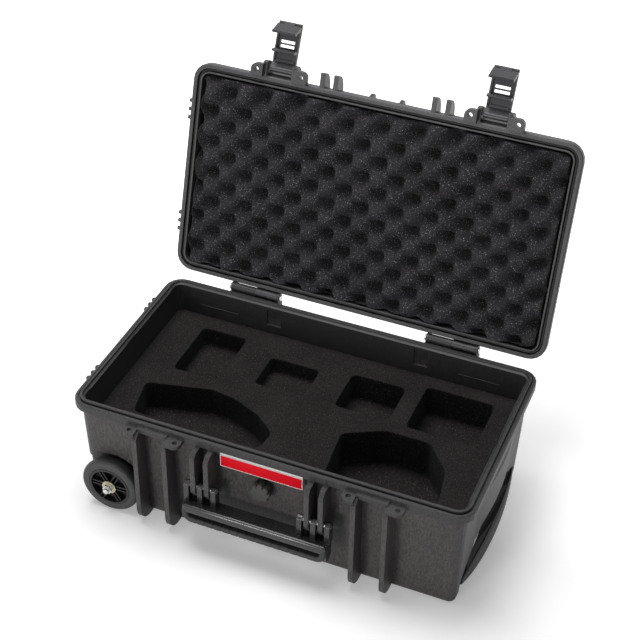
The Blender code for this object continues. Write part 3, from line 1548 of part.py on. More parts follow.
def trolley_grip(finish):
    """The bowed pull grip with two legs, a socket in each, and the trigger's pocket."""
    shares = [2 * k / GRIP_STEPS - 1 for k in range(GRIP_STEPS + 1)]
    outline = [grip_curve(s, False) for s in shares]
    outline += [grip_curve(s, True) for s in reversed(shares)]
    rings = []
    middle = (GRIP_BOTTOM + GRIP_TOP) / 2
    for z, shrink in (
        (GRIP_BOTTOM, 1),
        (GRIP_BOTTOM + GRIP_BEVEL, 0),
        (GRIP_TOP - GRIP_BEVEL, 0),
        (GRIP_TOP, 1),
    ):
        ring = []
        for i, (x, y) in enumerate(outline):
            share = abs(y) / GRIP_TIP
            step = GRIP_BEVEL * shrink * (1 - share * GRIP_FADE_SHARE)
            level = middle + (z - middle) * (1 - GRIP_FADE_SHARE * share**4)
            ring.append((x - step if i <= GRIP_STEPS else x + step / 3, y, level))
        rings.append(ring)
    grip = lofted("trolley_grip", rings, finish)
    legs = []
    for y in both_sides(TUBE_Y):
        half = GRIP_LEG_WIDTH / 2
        deep = grip_curve(y / GRIP_TIP, False)[0] - GRIP_BEVEL
        outline = rounded(
            box_outline(y - half, GRIP_LEG_BOTTOM, y + half, GRIP_LEG_TOP), GRIP_BEVEL, 2
        )
        legs.append(prism("leg", outline, "X", GRIP_LEG_END, deep - GRIP_BEVEL))
    add(grip, *legs)
    tools = []
    for y in both_sides(TUBE_Y):
        shrink = 2 * (TUBE_WALL + TUBE_SLIDE_GAP) - FIT_GAP
        socket = tube_outline(y, 0, shrink)
        tools.append(
            prism("socket", socket, "X", GRIP_LEG_END - OVERRUN, GRIP_LEG_END + GRIP_SOCKET)
        )
    inner_face = grip_curve(0, True)[0]
    gap = FIT_GAP
    tools.append(
        block(
            "trigger_room",
            (inner_face - OVERRUN, -TRIGGER_HALF_WIDTH - gap, TRIGGER_BOTTOM - gap),
            (inner_face + TRIGGER_POCKET, TRIGGER_HALF_WIDTH + gap, TRIGGER_TOP + gap),
        )
    )
    cut(grip, *tools)
    smooth(grip)
    return grip


def trigger(finish):
    """The release bar on the finger side of the grip, and its spring."""
    inner_face = grip_curve(0, True)[0]
    front = inner_face - TRIGGER_TRAVEL - FIT_GAP
    outline = rounded(
        box_outline(front, -TRIGGER_HALF_WIDTH, front + TRIGGER_THICK, TRIGGER_HALF_WIDTH),
        RIM_BEVEL,
        2,
    )
    bar = prism("trolley_trigger", outline, "Z", TRIGGER_BOTTOM, TRIGGER_TOP, finish["gloss"])
    start = front + TRIGGER_THICK + SPRING_WIRE + FIT_GAP
    end = inner_face + TRIGGER_POCKET - SPRING_WIRE - FIT_GAP
    height = (TRIGGER_BOTTOM + TRIGGER_TOP) / 2
    steps = SPRING_TURNS * SPRING_STEPS
    rings = []
    for k in range(steps + 1):
        turn = 2 * math.pi * k / SPRING_STEPS
        x = start + (end - start) * k / steps
        ring = []
        for a in range(4):
            around = math.radians(45 + 90 * a)
            radius = SPRING_RADIUS + SPRING_WIRE * math.cos(around)
            ring.append(
                (
                    x + SPRING_WIRE * math.sin(around) * 0.7,
                    radius * math.cos(turn),
                    height + radius * math.sin(turn),
                )
            )
        rings.append(ring)
    spring = lofted("trigger_spring", rings, finish["steel"])
    return bar, spring


# Lid, drawn closed


def lid_tub(finish):
    """The lid's moulding: outer skin, rim with the seal's groove, and inner skin."""
    parting = BASE_HEIGHT + RIM_GAP
    top = BASE_HEIGHT + LID_HEIGHT
    shoulder = parting + LID_SHOULDER
    groove = GROOVE_INSET + GROOVE_WIDTH - RIM_GAP
    groove_end = groove + TONGUE_WIDTH + 2 * RIM_GAP
    groove_top = parting + SEAL_GROOVE_DEPTH
    ceiling = top - LID_CEILING
    inner_top = INNER_INSET + RIM_BEVEL * 2
    rings = []
    for k in range(FILLET_STEPS + 1):
        turn = math.radians(90 * k / FILLET_STEPS)
        inset = RIM_OVERHANG + LID_EDGE_RADIUS * (1 - math.sin(turn))
        rings.append(rim_ring(inset, top - LID_EDGE_RADIUS * (1 - math.cos(turn))))
    for inset, z in (
        (RIM_OVERHANG, shoulder),
        (RIM_BEVEL, shoulder),
        (0, shoulder - RIM_BEVEL),
        (0, parting + RIM_BEVEL),
        (RIM_BEVEL, parting),
        (groove, parting),
        (groove, groove_top),
        (groove_end, groove_top),
        (groove_end, parting),
        (INNER_INSET, parting),
        (INNER_INSET, parting + RIM_BEVEL),
        (inner_top, ceiling - LID_EDGE_RADIUS / 2),
        (inner_top + LID_EDGE_RADIUS / 2, ceiling),
    ):
        rings.append(rim_ring(inset, z))
    return lofted("lid_shell", rings, finish)


def lid_root():
    """The inner outline of what stands on the lid's front edge, from its top down."""
    deep = -CASE_WIDTH / 2 + RIM_OVERHANG + RIM_BEVEL
    shallow = -CASE_WIDTH / 2 + GROOVE_INSET
    shelf = BASE_HEIGHT + LID_SHOULDER - RIM_BEVEL
    return [(deep, shelf), (shallow, shelf), (shallow, BASE_HEIGHT + RIM_GAP + RIM_BEVEL / 2)]


def lid_curve(front, low, steps):
    """A long rounded shoulder from a rib's front, at a height, back to the lid's top edge."""
    deep = -CASE_WIDTH / 2 + RIM_OVERHANG + LID_EDGE_RADIUS / 2
    top = BASE_HEIGHT + LID_HEIGHT - LID_EDGE_RADIUS / 2
    points = []
    for k in range(steps + 1):
        turn = math.radians(90 * k / steps)
        y = deep + (front - deep) * math.cos(turn)
        points.append((y, low + (top - low) * math.sin(turn)))
    return points


def large_fin(x):
    """A rounded fin on the lid's front edge, in line with a handle rib."""
    parting = BASE_HEIGHT + RIM_GAP
    front = -CASE_WIDTH / 2 - LARGE_FIN_REACH
    outline = [
        *lid_root(),
        (front, parting + RIM_BEVEL / 2),
        *lid_curve(front, parting + LID_SHOULDER / 2, CHEEK_STEPS),
    ]
    half = HANDLE_RIB_WIDTH / 2
    return prism("fin", outline, "X", x - half, x + half)


def small_fin(x):
    """A low ramp on the lid's front edge that rises towards the lid's top."""
    front = -CASE_WIDTH / 2 - FIN_REACH
    ramp = BASE_HEIGHT + LID_SHOULDER + LID_EDGE_RADIUS
    root = lid_root()[:1]
    outline = [
        *root,
        (-CASE_WIDTH / 2, root[0][1]),
        (front, ramp - RIM_BEVEL),
        *lid_curve(front, ramp, FILLET_STEPS),
    ]
    return prism("fin", outline, "X", x - FIN_WIDTH / 2, x + FIN_WIDTH / 2)


def cheek(x):
    """A side plate of a latch's bracket."""
    parting = BASE_HEIGHT + RIM_GAP
    front = -LATCH_PIVOT_Y - CHEEK_NOSE
    outline = [
        *lid_root(),
        (front + RIM_BEVEL, parting + RIM_BEVEL / 2),
        (front, parting + RIM_BEVEL * 2),
        *lid_curve(front, LATCH_PIVOT_Z, CHEEK_STEPS),
    ]
    return prism("cheek", outline, "X", x - CHEEK_WIDTH / 2, x + CHEEK_WIDTH / 2)


def latch_backing(x):
    """The low wall behind a latch, joining its two cheeks."""
    half = (LATCH_RIB_SPACE - CHEEK_WIDTH) / 2 + RIM_BEVEL
    deep, shelf = lid_root()[0]
    low = (x - half, -CASE_WIDTH / 2 - BACKING_REACH, shelf)
    return block("backing", low, (x + half, deep, BASE_HEIGHT + BACKING_TOP))


def lid_knuckles(centre):
    """The lid's ear and barrel, each on a web that turns over to the stop block."""
    ear, _, barrel, _ = hinge_spans(centre)
    knuckles = []
    for (low, high), radius in ((ear, HINGE_BARREL_RADIUS), (barrel, HINGE_BARREL_RADIUS)):
        lower_half = arc(HINGE_Y, HINGE_Z, radius, 180, 360, CORNER_STEPS * 2)
        top = HINGE_Z + HINGE_BARREL_RADIUS + HINGE_WEB
        root = CASE_WIDTH / 2 - GROOVE_INSET / 2
        wall = CASE_WIDTH / 2 - RIM_OVERHANG - RIM_BEVEL
        under = HINGE_Z + HINGE_BARREL_RADIUS
        outline = [
            *lower_half,
            (HINGE_Y + radius, top),
            (wall, top),
            (wall, BASE_HEIGHT + LID_SHOULDER - RIM_BEVEL),
            (root, under),
            (HINGE_Y - radius, under),
        ]
        knuckles.append(prism("knuckle", outline, "X", low, high))
    return knuckles


def lid_shell(finish):
    lid = lid_tub(finish)
    parting = BASE_HEIGHT + RIM_GAP
    top = BASE_HEIGHT + LID_HEIGHT

    pieces = [large_fin(x) for x in both_sides(HANDLE_RIB_INNER, HANDLE_RIB_OUTER)]
    pieces += [small_fin(x) for x in both_sides(FIN_FIRST)]
    pieces += [cheek(x) for x in both_sides(LATCH_RIB_INNER, LATCH_RIB_OUTER)]
    for x in both_sides(HINGE_CENTRE):
        pieces += lid_knuckles(x)
    pieces += end_ridges(parting + RIM_BEVEL, parting + LID_SHOULDER - RIM_BEVEL)
    add(lid, *pieces)
    tabs, necks = [], []
    edge = -CASE_WIDTH / 2 - RIM_GAP
    tab_low = PADLOCK_LEVEL + FIT_GAP
    tab_high = parting + RIM_BEVEL
    for x, toward in padlock_places():
        tabs.append(padlock_tab(x, toward, edge, tab_low, tab_high))
        half = PADLOCK_TAB_RADIUS - RIM_BEVEL
        low = (x - half, edge - PADLOCK_TAB / 2, parting + RIM_BEVEL / 2)
        high = (x + half, edge + GROOVE_INSET, parting + PADLOCK_TAB)
        necks.append(block("neck", low, high))
    add(lid, *tabs)
    add(lid, *necks)
    add(lid, *[latch_backing(x) for x in both_sides(LATCH_CENTRE)])

    tools = []
    hole = LATCH_PIN_RADIUS + FIT_GAP
    for x in both_sides(LATCH_CENTRE):
        reach = (LATCH_RIB_OUTER - LATCH_RIB_INNER) / 2 + CHEEK_WIDTH
        centre = (-LATCH_PIVOT_Y, LATCH_PIVOT_Z)
        tools.append(rod("hole", "X", centre, hole, x - reach, x + reach, PIN_SIDES))
    for x in both_sides(HINGE_CENTRE):
        spans = hinge_spans(x)
        low, high = spans[0][0] - OVERRUN, spans[3][1] + OVERRUN
        pin = HINGE_PIN_RADIUS + FIT_GAP
        tools.append(rod("hole", "X", (HINGE_Y, HINGE_Z), pin, low, high, PIN_SIDES))
    for x, _ in padlock_places():
        tools.append(padlock_hole(x, tab_low - OVERRUN, parting + PADLOCK_TAB + OVERRUN))
    cut(lid, *tools)

    panel = rounded_rect(LID_PANEL_LENGTH / 2, LID_PANEL_WIDTH / 2, LID_PANEL_RADIUS)
    cut(lid, prism("panel", panel, "Z", top - LID_PANEL_DEPTH, top + OVERRUN))
    bands = []
    for k in range(LID_BAND_COUNT):
        y = (k - (LID_BAND_COUNT - 1) / 2) * LID_BAND_PITCH
        half = LID_BAND_WIDTH / 2
        band = rounded(
            box_outline(-LID_BAND_LENGTH / 2, y - half, LID_BAND_LENGTH / 2, y + half), half
        )
        bands.append(prism("band", band, "Z", top - LID_CEILING / 2, top))
    add(lid, *bands)
    smooth(lid, 30)
    return lid


def lid_seal(finish):
    """The round rubber seal in the lid's groove."""
    parting = BASE_HEIGHT + RIM_GAP
    middle = GROOVE_INSET + GROOVE_WIDTH + TONGUE_WIDTH / 2
    height = parting + SEAL_GROOVE_DEPTH - SEAL_RADIUS - FIT_GAP
    rings = []
    for inset, z in circle(SEAL_RADIUS, SEAL_SIDES, middle, height):
        rings.append(rim_ring(inset, z))
    seal = lofted("lid_seal", rings, finish, True)
    smooth(seal)
    return seal


def lid_foam(finish):
    """Convoluted foam: rounded peaks on a staggered lattice, on a flat back."""
    ceiling = BASE_HEIGHT + LID_HEIGHT - LID_CEILING
    back = ceiling - EGG_CLEARANCE
    half_x = CASE_LENGTH / 2 - INNER_INSET
    half_y = CASE_WIDTH / 2 - INNER_INSET
    step_x = EGG_PITCH_X / EGG_CELLS
    step_y = EGG_PITCH_Y / EGG_CELLS
    across = math.ceil(half_x / step_x) + 1
    along = math.ceil(half_y / step_y) + 1
    columns = range(-across, across + 1)
    rows = range(-along, along + 1)
    points, index = [], {}
    for i in columns:
        for j in rows:
            if (i + j) % 2 and abs(i) != across and abs(j) != along:
                continue
            wave = math.cos(2 * math.pi * i / EGG_CELLS) * math.cos(2 * math.pi * j / EGG_CELLS)
            rise = EGG_BACK + EGG_RISE * (1 + wave) / 2
            index[i, j] = len(points)
            points.append((EGG_PEAK_X + i * step_x, EGG_PEAK_Y + j * step_y, back - rise))
    faces = []
    for i in columns:
        for j in rows:
            if (i + j) % 2 == 0:
                continue
            around = []
            for key in ((i + 1, j), (i, j + 1), (i - 1, j), (i, j - 1)):
                spot = index.get(key, index.get((i, j)))
                if spot not in around:
                    around.append(spot)
            faces.append(tuple(around))
    edge = [(i, -along) for i in columns]
    edge += [(across, j) for j in rows][1:]
    edge += [(i, along) for i in reversed(columns)][1:]
    edge += [(-across, j) for j in reversed(rows)][1:-1]
    rim = [index[key] for key in edge]
    total = len(points)
    points += [(points[k][0], points[k][1], back) for k in rim]
    for k, here in enumerate(rim):
        after = (k + 1) % len(rim)
        faces.append((here, rim[after], total + after, total + k))
    faces.append(tuple(range(total, len(points))))
    foam = mesh_object("lid_foam", points, faces, finish)
    inset = INNER_INSET + RIM_BEVEL * 2 + EGG_CLEARANCE
    slope = LID_EDGE_RADIUS / 2
    shape = lofted(
        "lid_foam_room",
        [
            rim_ring(inset, BASE_HEIGHT - EGG_RISE),
            rim_ring(inset, back - slope),
            rim_ring(inset + slope, back - EGG_CLEARANCE / 2),
        ],
    )
    shape.hide_render = True
    shape.display_type = "WIRE"
    trim = foam.modifiers.new("trim", "BOOLEAN")
    trim.operation = "INTERSECT"
    trim.object = shape
    trim.solver = "EXACT"
    smooth(foam, 60)
    return foam


# Latches, drawn hanging closed from the lid


def build_latch(name, x, lid_hub, finish):
    """A latch: link, lever and their two pins, each on its own pivot."""
    place = (x, -LATCH_PIVOT_Y - HINGE_Y, LATCH_PIVOT_Z - HINGE_Z)
    link_hub = pivot(f"{name}_link_axis", place, lid_hub, -LATCH_OPEN_ANGLE)
    place = (0, -LATCH_OFFSET, -LATCH_LENGTH)
    lever_hub = pivot(f"{name}_lever_axis", place, link_hub, LATCH_LEVER_ANGLE)
    link = latch_link(f"{name}_link", finish["black"])
    lever = latch_lever(f"{name}_lever", finish["black"])
    half = (LATCH_RIB_OUTER - LATCH_RIB_INNER) / 2 + CHEEK_WIDTH / 2 - FIT_GAP
    link_pin = rod(
        f"{name}_link_pin", "X", (0, 0), LATCH_PIN_RADIUS, -half, half, PIN_SIDES,
        finish["steel"],
    )
    half = LATCH_WIDTH / 2 - FIT_GAP
    lever_pin = rod(
        f"{name}_lever_pin", "X", (0, 0), LEVER_PIN_RADIUS, -half, half, PIN_SIDES,
        finish["steel"],
    )
    hang(link_hub, (0, 0, 0), link, link_pin)
    hang(lever_hub, (0, 0, 0), lever, lever_pin)


def latch_link(name, finish):
    """The link about its pin: an eye, two slots, a hook lip and forked ends for the lever."""
    half_plate = LATCH_PLATE / 2
    outer = -LATCH_OFFSET - half_plate
    inner = -LATCH_OFFSET + half_plate
    eye = LATCH_EYE_RADIUS
    end = -LATCH_LENGTH
    around = arc(0, 0, eye, -60, 150, 2 * CORNER_STEPS)
    outline = [
        *around,
        (outer, -eye * 1.2),
        *arc(-LATCH_OFFSET, end, half_plate, 180, 360, 2 * FILLET_STEPS),
        (inner, -eye * 2.2),
    ]
    link = prism(name, outline, "X", -LATCH_WIDTH / 2, LATCH_WIDTH / 2, finish)
    sides = []
    for side in (-1, 1):
        edge = LATCH_WIDTH / 2 - FIT_GAP
        low, high = sorted((side * edge, side * (edge - LATCH_RAIL)))
        frame = [
            (outer + half_plate, -eye * 2),
            (inner + half_plate, -eye * 3),
            (inner + half_plate, end + eye + LEVER_LIP),
            (outer + half_plate, end + half_plate),
        ]
        sides.append(prism("side", frame, "X", low, high))
    add(link, *sides)
    hook_top = -LATCH_HOOK_DROP + LATCH_HOOK_THICK
    hook = [
        (outer + half_plate, -LATCH_HOOK_DROP),
        (LATCH_HOOK_REACH - RIM_BEVEL, -LATCH_HOOK_DROP),
        (LATCH_HOOK_REACH, -LATCH_HOOK_DROP + RIM_BEVEL),
        (LATCH_HOOK_REACH, hook_top),
        (LATCH_HOOK_REACH - RIM_BEVEL, hook_top + RIM_BEVEL / 2),
        (outer + half_plate, hook_top),
    ]
    half = LATCH_HOOK_WIDTH / 2
    add(link, prism("hook", hook, "X", -half, half))
    tools = []
    reach = LATCH_EYE_RADIUS * 2
    slot_half = LATCH_SLOT_WIDTH / 2
    for k in range(2):
        high = -LATCH_HOOK_DROP - LATCH_BAR - k * (LATCH_SLOT + LATCH_BAR)
        tools.append(
            block(
                "slot",
                (-slot_half, outer - reach, high - LATCH_SLOT),
                (slot_half, inner + reach, high),
            )
        )
    groove = -eye * 3
    tools.append(
        block(
            "groove",
            (-slot_half, inner - LATCH_GROOVE_DEPTH, groove - LATCH_LOW_GROOVE),
            (slot_half, inner + reach, groove),
        )
    )
    tools.append(
        rod(
            "hole", "X", (0, 0), LATCH_PIN_RADIUS + FIT_GAP,
            -LATCH_WIDTH, LATCH_WIDTH, PIN_SIDES,
        )
    )
    knuckle = LEVER_KNUCKLE_WIDTH / 2 + FIT_GAP
    room = eye * 1.15
    tools.append(
        block(
            "knuckle_room",
            (-knuckle, -LATCH_OFFSET - room, end - room),
            (knuckle, -LATCH_OFFSET + room, end + room * 0.85),
        )
    )
    cut(link, *tools)
    cut(
        link,
        rod(
            "lever_hole", "X", (-LATCH_OFFSET, end), LEVER_PIN_RADIUS + FIT_GAP,
            -LATCH_WIDTH, LATCH_WIDTH, PIN_SIDES,
        ),
    )
    smooth(link)
    return link


def latch_lever(name, finish):
    """The paddle about its pin, with side flanges, hanging in line with the link when closed."""
    half_plate = LEVER_PLATE / 2
    start = -LEVER_START
    end = -LEVER_LENGTH
    outline = [
        (-half_plate, start),
        (-half_plate, end + LEVER_LIP),
        (-half_plate - LEVER_LIP / 2, end),
        (half_plate - LEVER_LIP / 2, end),
        (half_plate, end + LEVER_LIP),
        (half_plate, start),
    ]
    lever = prism(name, outline, "X", -LEVER_WIDTH / 2, LEVER_WIDTH / 2, finish)
    knuckle = [
        *arc(0, 0, LATCH_PLATE / 2, 0, 180, 2 * FILLET_STEPS),
        (-LATCH_PLATE / 2, start - RIM_BEVEL),
        (LATCH_PLATE / 2, start - RIM_BEVEL),
    ]
    half = LEVER_KNUCKLE_WIDTH / 2
    add(lever, prism("knuckle", knuckle, "X", -half, half))
    flanges = []
    for side in (-1, 1):
        edge = LEVER_WIDTH / 2 - FIT_GAP
        low, high = sorted((side * edge, side * (edge - LEVER_FLANGE)))
        outline = [
            (0, start - RIM_BEVEL),
            (half_plate + LEVER_FLANGE_DROP, start - RIM_BEVEL),
            (half_plate + LEVER_FLANGE_DROP, start * 2),
            (half_plate - RIM_BEVEL / 2, end + LEVER_LIP),
            (0, end + LEVER_LIP),
        ]
        flanges.append(prism("flange", outline, "X", low, high))
    add(lever, *flanges)
    cut(
        lever,
        rod("hole", "X", (0, 0), LEVER_PIN_RADIUS + FIT_GAP, -LEVER_WIDTH, LEVER_WIDTH, PIN_SIDES),
    )
    smooth(lever)
    return lever


def main():
    clear_scene()
    finish = {
        "black": material("black_moulded_plastic", BLACK, 0.55),
        "gloss": material("smooth_black_plastic", SOFT_BLACK, 0.35),
        "foam": material("charcoal_foam", FOAM_GREY, 0.95),
        "tyre": material("wheel_tyre_plastic", SOFT_BLACK, 0.5),
        "hub": material("wheel_hub_plastic", BLACK, 0.4),
        "rubber": material("grip_rubber", SOFT_BLACK, 0.7),
        "seal": material("seal_rubber", BLACK, 0.6),
        "steel": material("bright_steel", (0.62, 0.62, 0.63), 0.3, 1.0),
        "brass": material("plated_brass", (0.62, 0.52, 0.33), 0.32, 1.0),
        "alloy": material("anodised_alloy", (0.55, 0.56, 0.58), 0.38, 1.0),
        "bush": material("bush_nylon", (0.55, 0.54, 0.50), 0.5),
        "white": material("white_plastic", (0.80, 0.80, 0.80), 0.4),
        "red": material("red_card", (0.60, 0.010, 0.016), 0.45),
    }

    base_shell(finish["black"])
    base_foam(finish["foam"])
    foam_sheet(finish["foam"])
    hinge_pin("hinge_pin_left", -HINGE_CENTRE, finish["steel"])
    hinge_pin("hinge_pin_right", HINGE_CENTRE, finish["steel"])
    name_plate(finish)
    valve(finish)
    handle_pin("handle_pin_left", -1, finish["steel"])
    handle_pin("handle_pin_right", 1, finish["steel"])

    place = (0, -HANDLE_PIVOT_Y, HANDLE_PIVOT_Z)
    handle_hub = pivot("front_handle_axis", place)
    hang(handle_hub, place, handle_frame(finish["gloss"]), handle_grip(finish["rubber"]))

    for side_name, side in (("front", -1), ("rear", 1)):
        place = (-WHEEL_X, side * WHEEL_FACE, WHEEL_Z)
        hub = pivot(f"wheel_{side_name}_axis", place)
        hang(hub, place, *wheel(side_name, side, finish))

    middle_hub = pivot("trolley_middle_axis", (0, 0, TUBE_Z))
    grip_hub = pivot("trolley_grip_axis", (0, 0, TUBE_Z))
    for side_name, y in (("front", -TUBE_Y), ("rear", TUBE_Y)):
        tube(f"trolley_outer_tube_{side_name}", y, 0, OUTER_TUBE_LENGTH, finish["alloy"])
        middle = tube(f"trolley_middle_tube_{side_name}", y, 1, OUTER_TUBE_LENGTH, finish["alloy"])
        inner = tube(f"trolley_inner_tube_{side_name}", y, 2, OUTER_TUBE_LENGTH, finish["alloy"])
        hang(middle_hub, (0, 0, TUBE_Z), middle)
        hang(grip_hub, (0, 0, TUBE_Z), inner)
    hang(middle_hub, (0, 0, TUBE_Z), stage_bridge(finish["gloss"]))
    hang(grip_hub, (0, 0, TUBE_Z), trolley_grip(finish["gloss"]), *trigger(finish))
    tube_clamp("trolley_front_clamp", CLAMP_X, finish["black"])
    tube_clamp("trolley_tail_clamp", TAIL_X, finish["black"])
    cover_plate(finish["black"])
    for k, (x, y) in enumerate(cover_screws()):
        cover_screw(f"cover_screw_{k + 1}", x, y, finish["steel"])

    place = (0, HINGE_Y, HINGE_Z)
    lid_hub = pivot("lid_axis", place, None, -LID_OPEN_ANGLE)
    hang(lid_hub, place, lid_shell(finish["black"]), lid_foam(finish["foam"]))
    hang(lid_hub, place, lid_seal(finish["seal"]))
    for side_name, x in (("left", -LATCH_CENTRE), ("right", LATCH_CENTRE)):
        build_latch(f"latch_{side_name}", x, lid_hub, finish)


main()
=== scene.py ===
"""Looks, stage and camera for the wheeled hard camera case, around its solid model.

All sizes are in metres, in the frame of the solid model: +X runs to the pull-out handle, +Y to the
hinges, +Z up, and the origin is the middle of the underside, on the floor.
"""

import math

import bmesh
import bpy
from mathutils import Matrix, Vector, noise


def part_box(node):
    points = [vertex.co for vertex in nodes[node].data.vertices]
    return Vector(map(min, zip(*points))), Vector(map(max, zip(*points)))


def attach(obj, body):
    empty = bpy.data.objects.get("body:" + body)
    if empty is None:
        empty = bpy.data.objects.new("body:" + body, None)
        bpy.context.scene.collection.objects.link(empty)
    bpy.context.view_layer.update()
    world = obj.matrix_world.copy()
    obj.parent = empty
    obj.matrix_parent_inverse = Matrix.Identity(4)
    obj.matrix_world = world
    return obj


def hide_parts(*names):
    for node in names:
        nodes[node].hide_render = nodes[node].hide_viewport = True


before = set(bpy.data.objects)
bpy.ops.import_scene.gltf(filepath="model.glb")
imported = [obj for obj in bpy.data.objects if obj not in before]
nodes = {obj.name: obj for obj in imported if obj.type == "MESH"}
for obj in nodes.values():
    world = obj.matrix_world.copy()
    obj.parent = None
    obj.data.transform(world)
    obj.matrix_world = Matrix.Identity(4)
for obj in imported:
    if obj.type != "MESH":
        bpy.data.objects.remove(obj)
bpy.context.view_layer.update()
scene = bpy.context.scene

# Sizes shared with the solid model
CASE_LENGTH = 0.5492
CASE_WIDTH = 0.3024
CORNER_RADIUS = 0.0245
BASE_HEIGHT = 0.170
LID_HEIGHT = 0.033
HINGE_Y = 0.1588
HINGE_Z = 0.173
LID_OPEN_ANGLE = 106.6
INNER_INSET = 0.0132
FOAM_TOP = 0.126

# Meshes in general
SHARP_ANGLE = math.radians(50)
CORNER_STEPS = 5
LEAST_ROUND = 0.0002

# Convoluted foam in the lid: two crossing waves, in turns per metre along X and Y
EGG_WAVES = ((22.33, 20.47), (-18.05, 25.1))
EGG_PEAK_X = -0.0918
EGG_PEAK_Y = -0.1328
EGG_CEILING = 0.0046
EGG_BACK = 0.003
EGG_RISE = 0.031
EGG_FULLNESS = 0.52
EGG_INSET = 0.0168
EGG_STEP = 0.0024
EGG_SIDE_STEPS = 4
EGG_DROOP_X = -0.30
EGG_DROOP_Y = 0.48
EGG_DROOP_EDGE = 0.014
EGG_UNEVEN_SHARE = 0.05
EGG_UNEVEN_RATE = 18
EGG_UNEVEN_SLICE = 0.5
EGG_FINE_DEPTH = 0.0004
EGG_FINE_RATE = 160
EGG_FINE_SLICE = 2.5

# Strips on the inner walls of the base
STRIP_Z = 0.1672
STRIP_HEIGHT = 0.0034
STRIP_PROUD = 0.0014
STRIP_SINK = 0.0006
STRIP_TAPER = 0.002
STRIP_FULLNESS = 1.6
STRIP_STEPS = 8
STRIP_SHARES = (0.0, 0.01, 0.03, 0.5, 0.97, 0.99, 1.0)
STRIP_GAP_FAR = 0.0069
STRIP_GAP_NEAR = 0.0138
STRIP_END_Y = 0.118

# Carry handle: a soft loop with grooves round it, and a bar above
DOME_ANGLES = (25, 50, 72)
LOOP_HALF = 0.0962
LOOP_TOP = 0.0700
LOOP_Z = 0.0545
LOOP_Y = -0.1732
LOOP_BEND = 0.0095
LOOP_HIGH = 0.0084
LOOP_DEEP = 0.0160
LOOP_ROUND = 0.0026
LOOP_END_STEPS = 3
LOOP_BEND_STEPS = 7
GROOVE_COUNT = 14
GROOVE_FIRST = -0.0790
GROOVE_PITCH = 0.0118
GROOVE_HALF = 0.0011
GROOVE_FLOOR = 0.55
GROOVE_DEPTH = 0.0007
BAR_HALF = 0.0965
BAR_SHARES = (-1.0, -0.5, 0.0, 0.5, 1.0)
BAR_Z = 0.0722
BAR_Y = -0.1762
BAR_HIGH = 0.0134
BAR_DEEP = 0.0096
BAR_ROUND = 0.0036

# Red card
CARD_SOFT = 0.0002
CARD_CORNER = 0.0008
CARD_BORDER = 0.0009
CARD_TOP_STRIP = 0.0040
CARD_PROUD = 0.0003

# Tyres: a section as (radius, depth behind the outer face)
TYRE_STEPS = 72
TYRE_SECTION = (
    (0.0296, 0.0040),
    (0.0296, 0.0012),
    (0.0300, 0.0004),
    (0.0312, 0.0),
    (0.0372, 0.0002),
    (0.0392, 0.0008),
    (0.0405, 0.0022),
    (0.0412, 0.0042),
    (0.0414, 0.0066),
    (0.0412, 0.0092),
    (0.0403, 0.0122),
    (0.0389, 0.0154),
    (0.0371, 0.0188),
    (0.0352, 0.0220),
    (0.0336, 0.0240),
    (0.0316, 0.0250),
    (0.0300, 0.0246),
    (0.0296, 0.0236),
)

# Foam block in the base
FOAM_MERGE = 1e-6
FOAM_FLAT_ANGLE = 0.01
FOAM_EDGE_ANGLE = 0.7
FOAM_EDGE = 0.0014
FOAM_EDGE_STEPS = 3
FOAM_LEVEL_SLACK = FOAM_EDGE / 10
FOAM_STEP = 0.008
FOAM_DIVISIONS = 4
FOAM_WAVE = 0.0006
FOAM_WAVE_RATE = 40.0


# Mesh helpers


def bridge(body, first, second):
    """Faces between two closed rings of vertices."""
    for k in range(len(first)):
        after = (k + 1) % len(first)
        body.faces.new((first[k], first[after], second[after], second[k]))


def skin(body, rings):
    """Faces along a row of closed rings, and over both ends."""
    for first, second in zip(rings, rings[1:]):
        bridge(body, first, second)
    body.faces.new(rings[0])
    body.faces.new(rings[-1])


def finished(name, body, finish, mesh=None, sharp=True):
    """An object with one material from a closed body, smooth but for its sharp edges."""
    bmesh.ops.recalc_face_normals(body, faces=body.faces)
    if mesh is None:
        mesh = bpy.data.meshes.new(name)
    body.to_mesh(mesh)
    body.free()
    for polygon in mesh.polygons:
        polygon.use_smooth = True
    if sharp:
        mesh.set_sharp_from_angle(angle=SHARP_ANGLE)
    mesh.materials.append(finish)
    made = bpy.data.objects.new(name, mesh)
    scene.collection.objects.link(made)
    return made


def rounded_section(half_a, half_b, radius):
    """A rectangle with round corners, as (along the first axis, along the second axis) pairs."""
    points = []
    for corner, (sign_a, sign_b) in enumerate(((1, 1), (-1, 1), (-1, -1), (1, -1))):
        for step in range(CORNER_STEPS + 1):
            turn = math.pi / 2 * (corner + step / CORNER_STEPS)
            a = sign_a * (half_a - radius) + radius * math.cos(turn)
            b = sign_b * (half_b - radius) + radius * math.sin(turn)
            points.append((a, b))
    return points


# Material helpers

NOISE_SPAN = (0.3, 0.7)
WHOLE_SPAN = (0.0, 1.0)
EDGE_SAMPLES = 4


def feed(tree, socket, value):
    """Link a node's output to a socket, or set the socket's own constant."""
    if isinstance(value, bpy.types.NodeSocket):
        tree.links.new(value, socket)
    elif socket.type == "RGBA" and len(value) == 3:
        socket.default_value = (*value, 1.0)
    else:
        socket.default_value = value


def dress(tree, node, **inputs):
    """Feed a node's inputs by their names, with _ for a space."""
    for key, value in inputs.items():
        feed(tree, node.inputs[key.replace("_", " ")], value)


def add(tree, kind, settings=None, **inputs):
    """A shader node with its settings and its inputs."""
    made = tree.nodes.new(kind)
    for key, value in (settings or {}).items():
        setattr(made, key, value)
    dress(tree, made, **inputs)
    return made


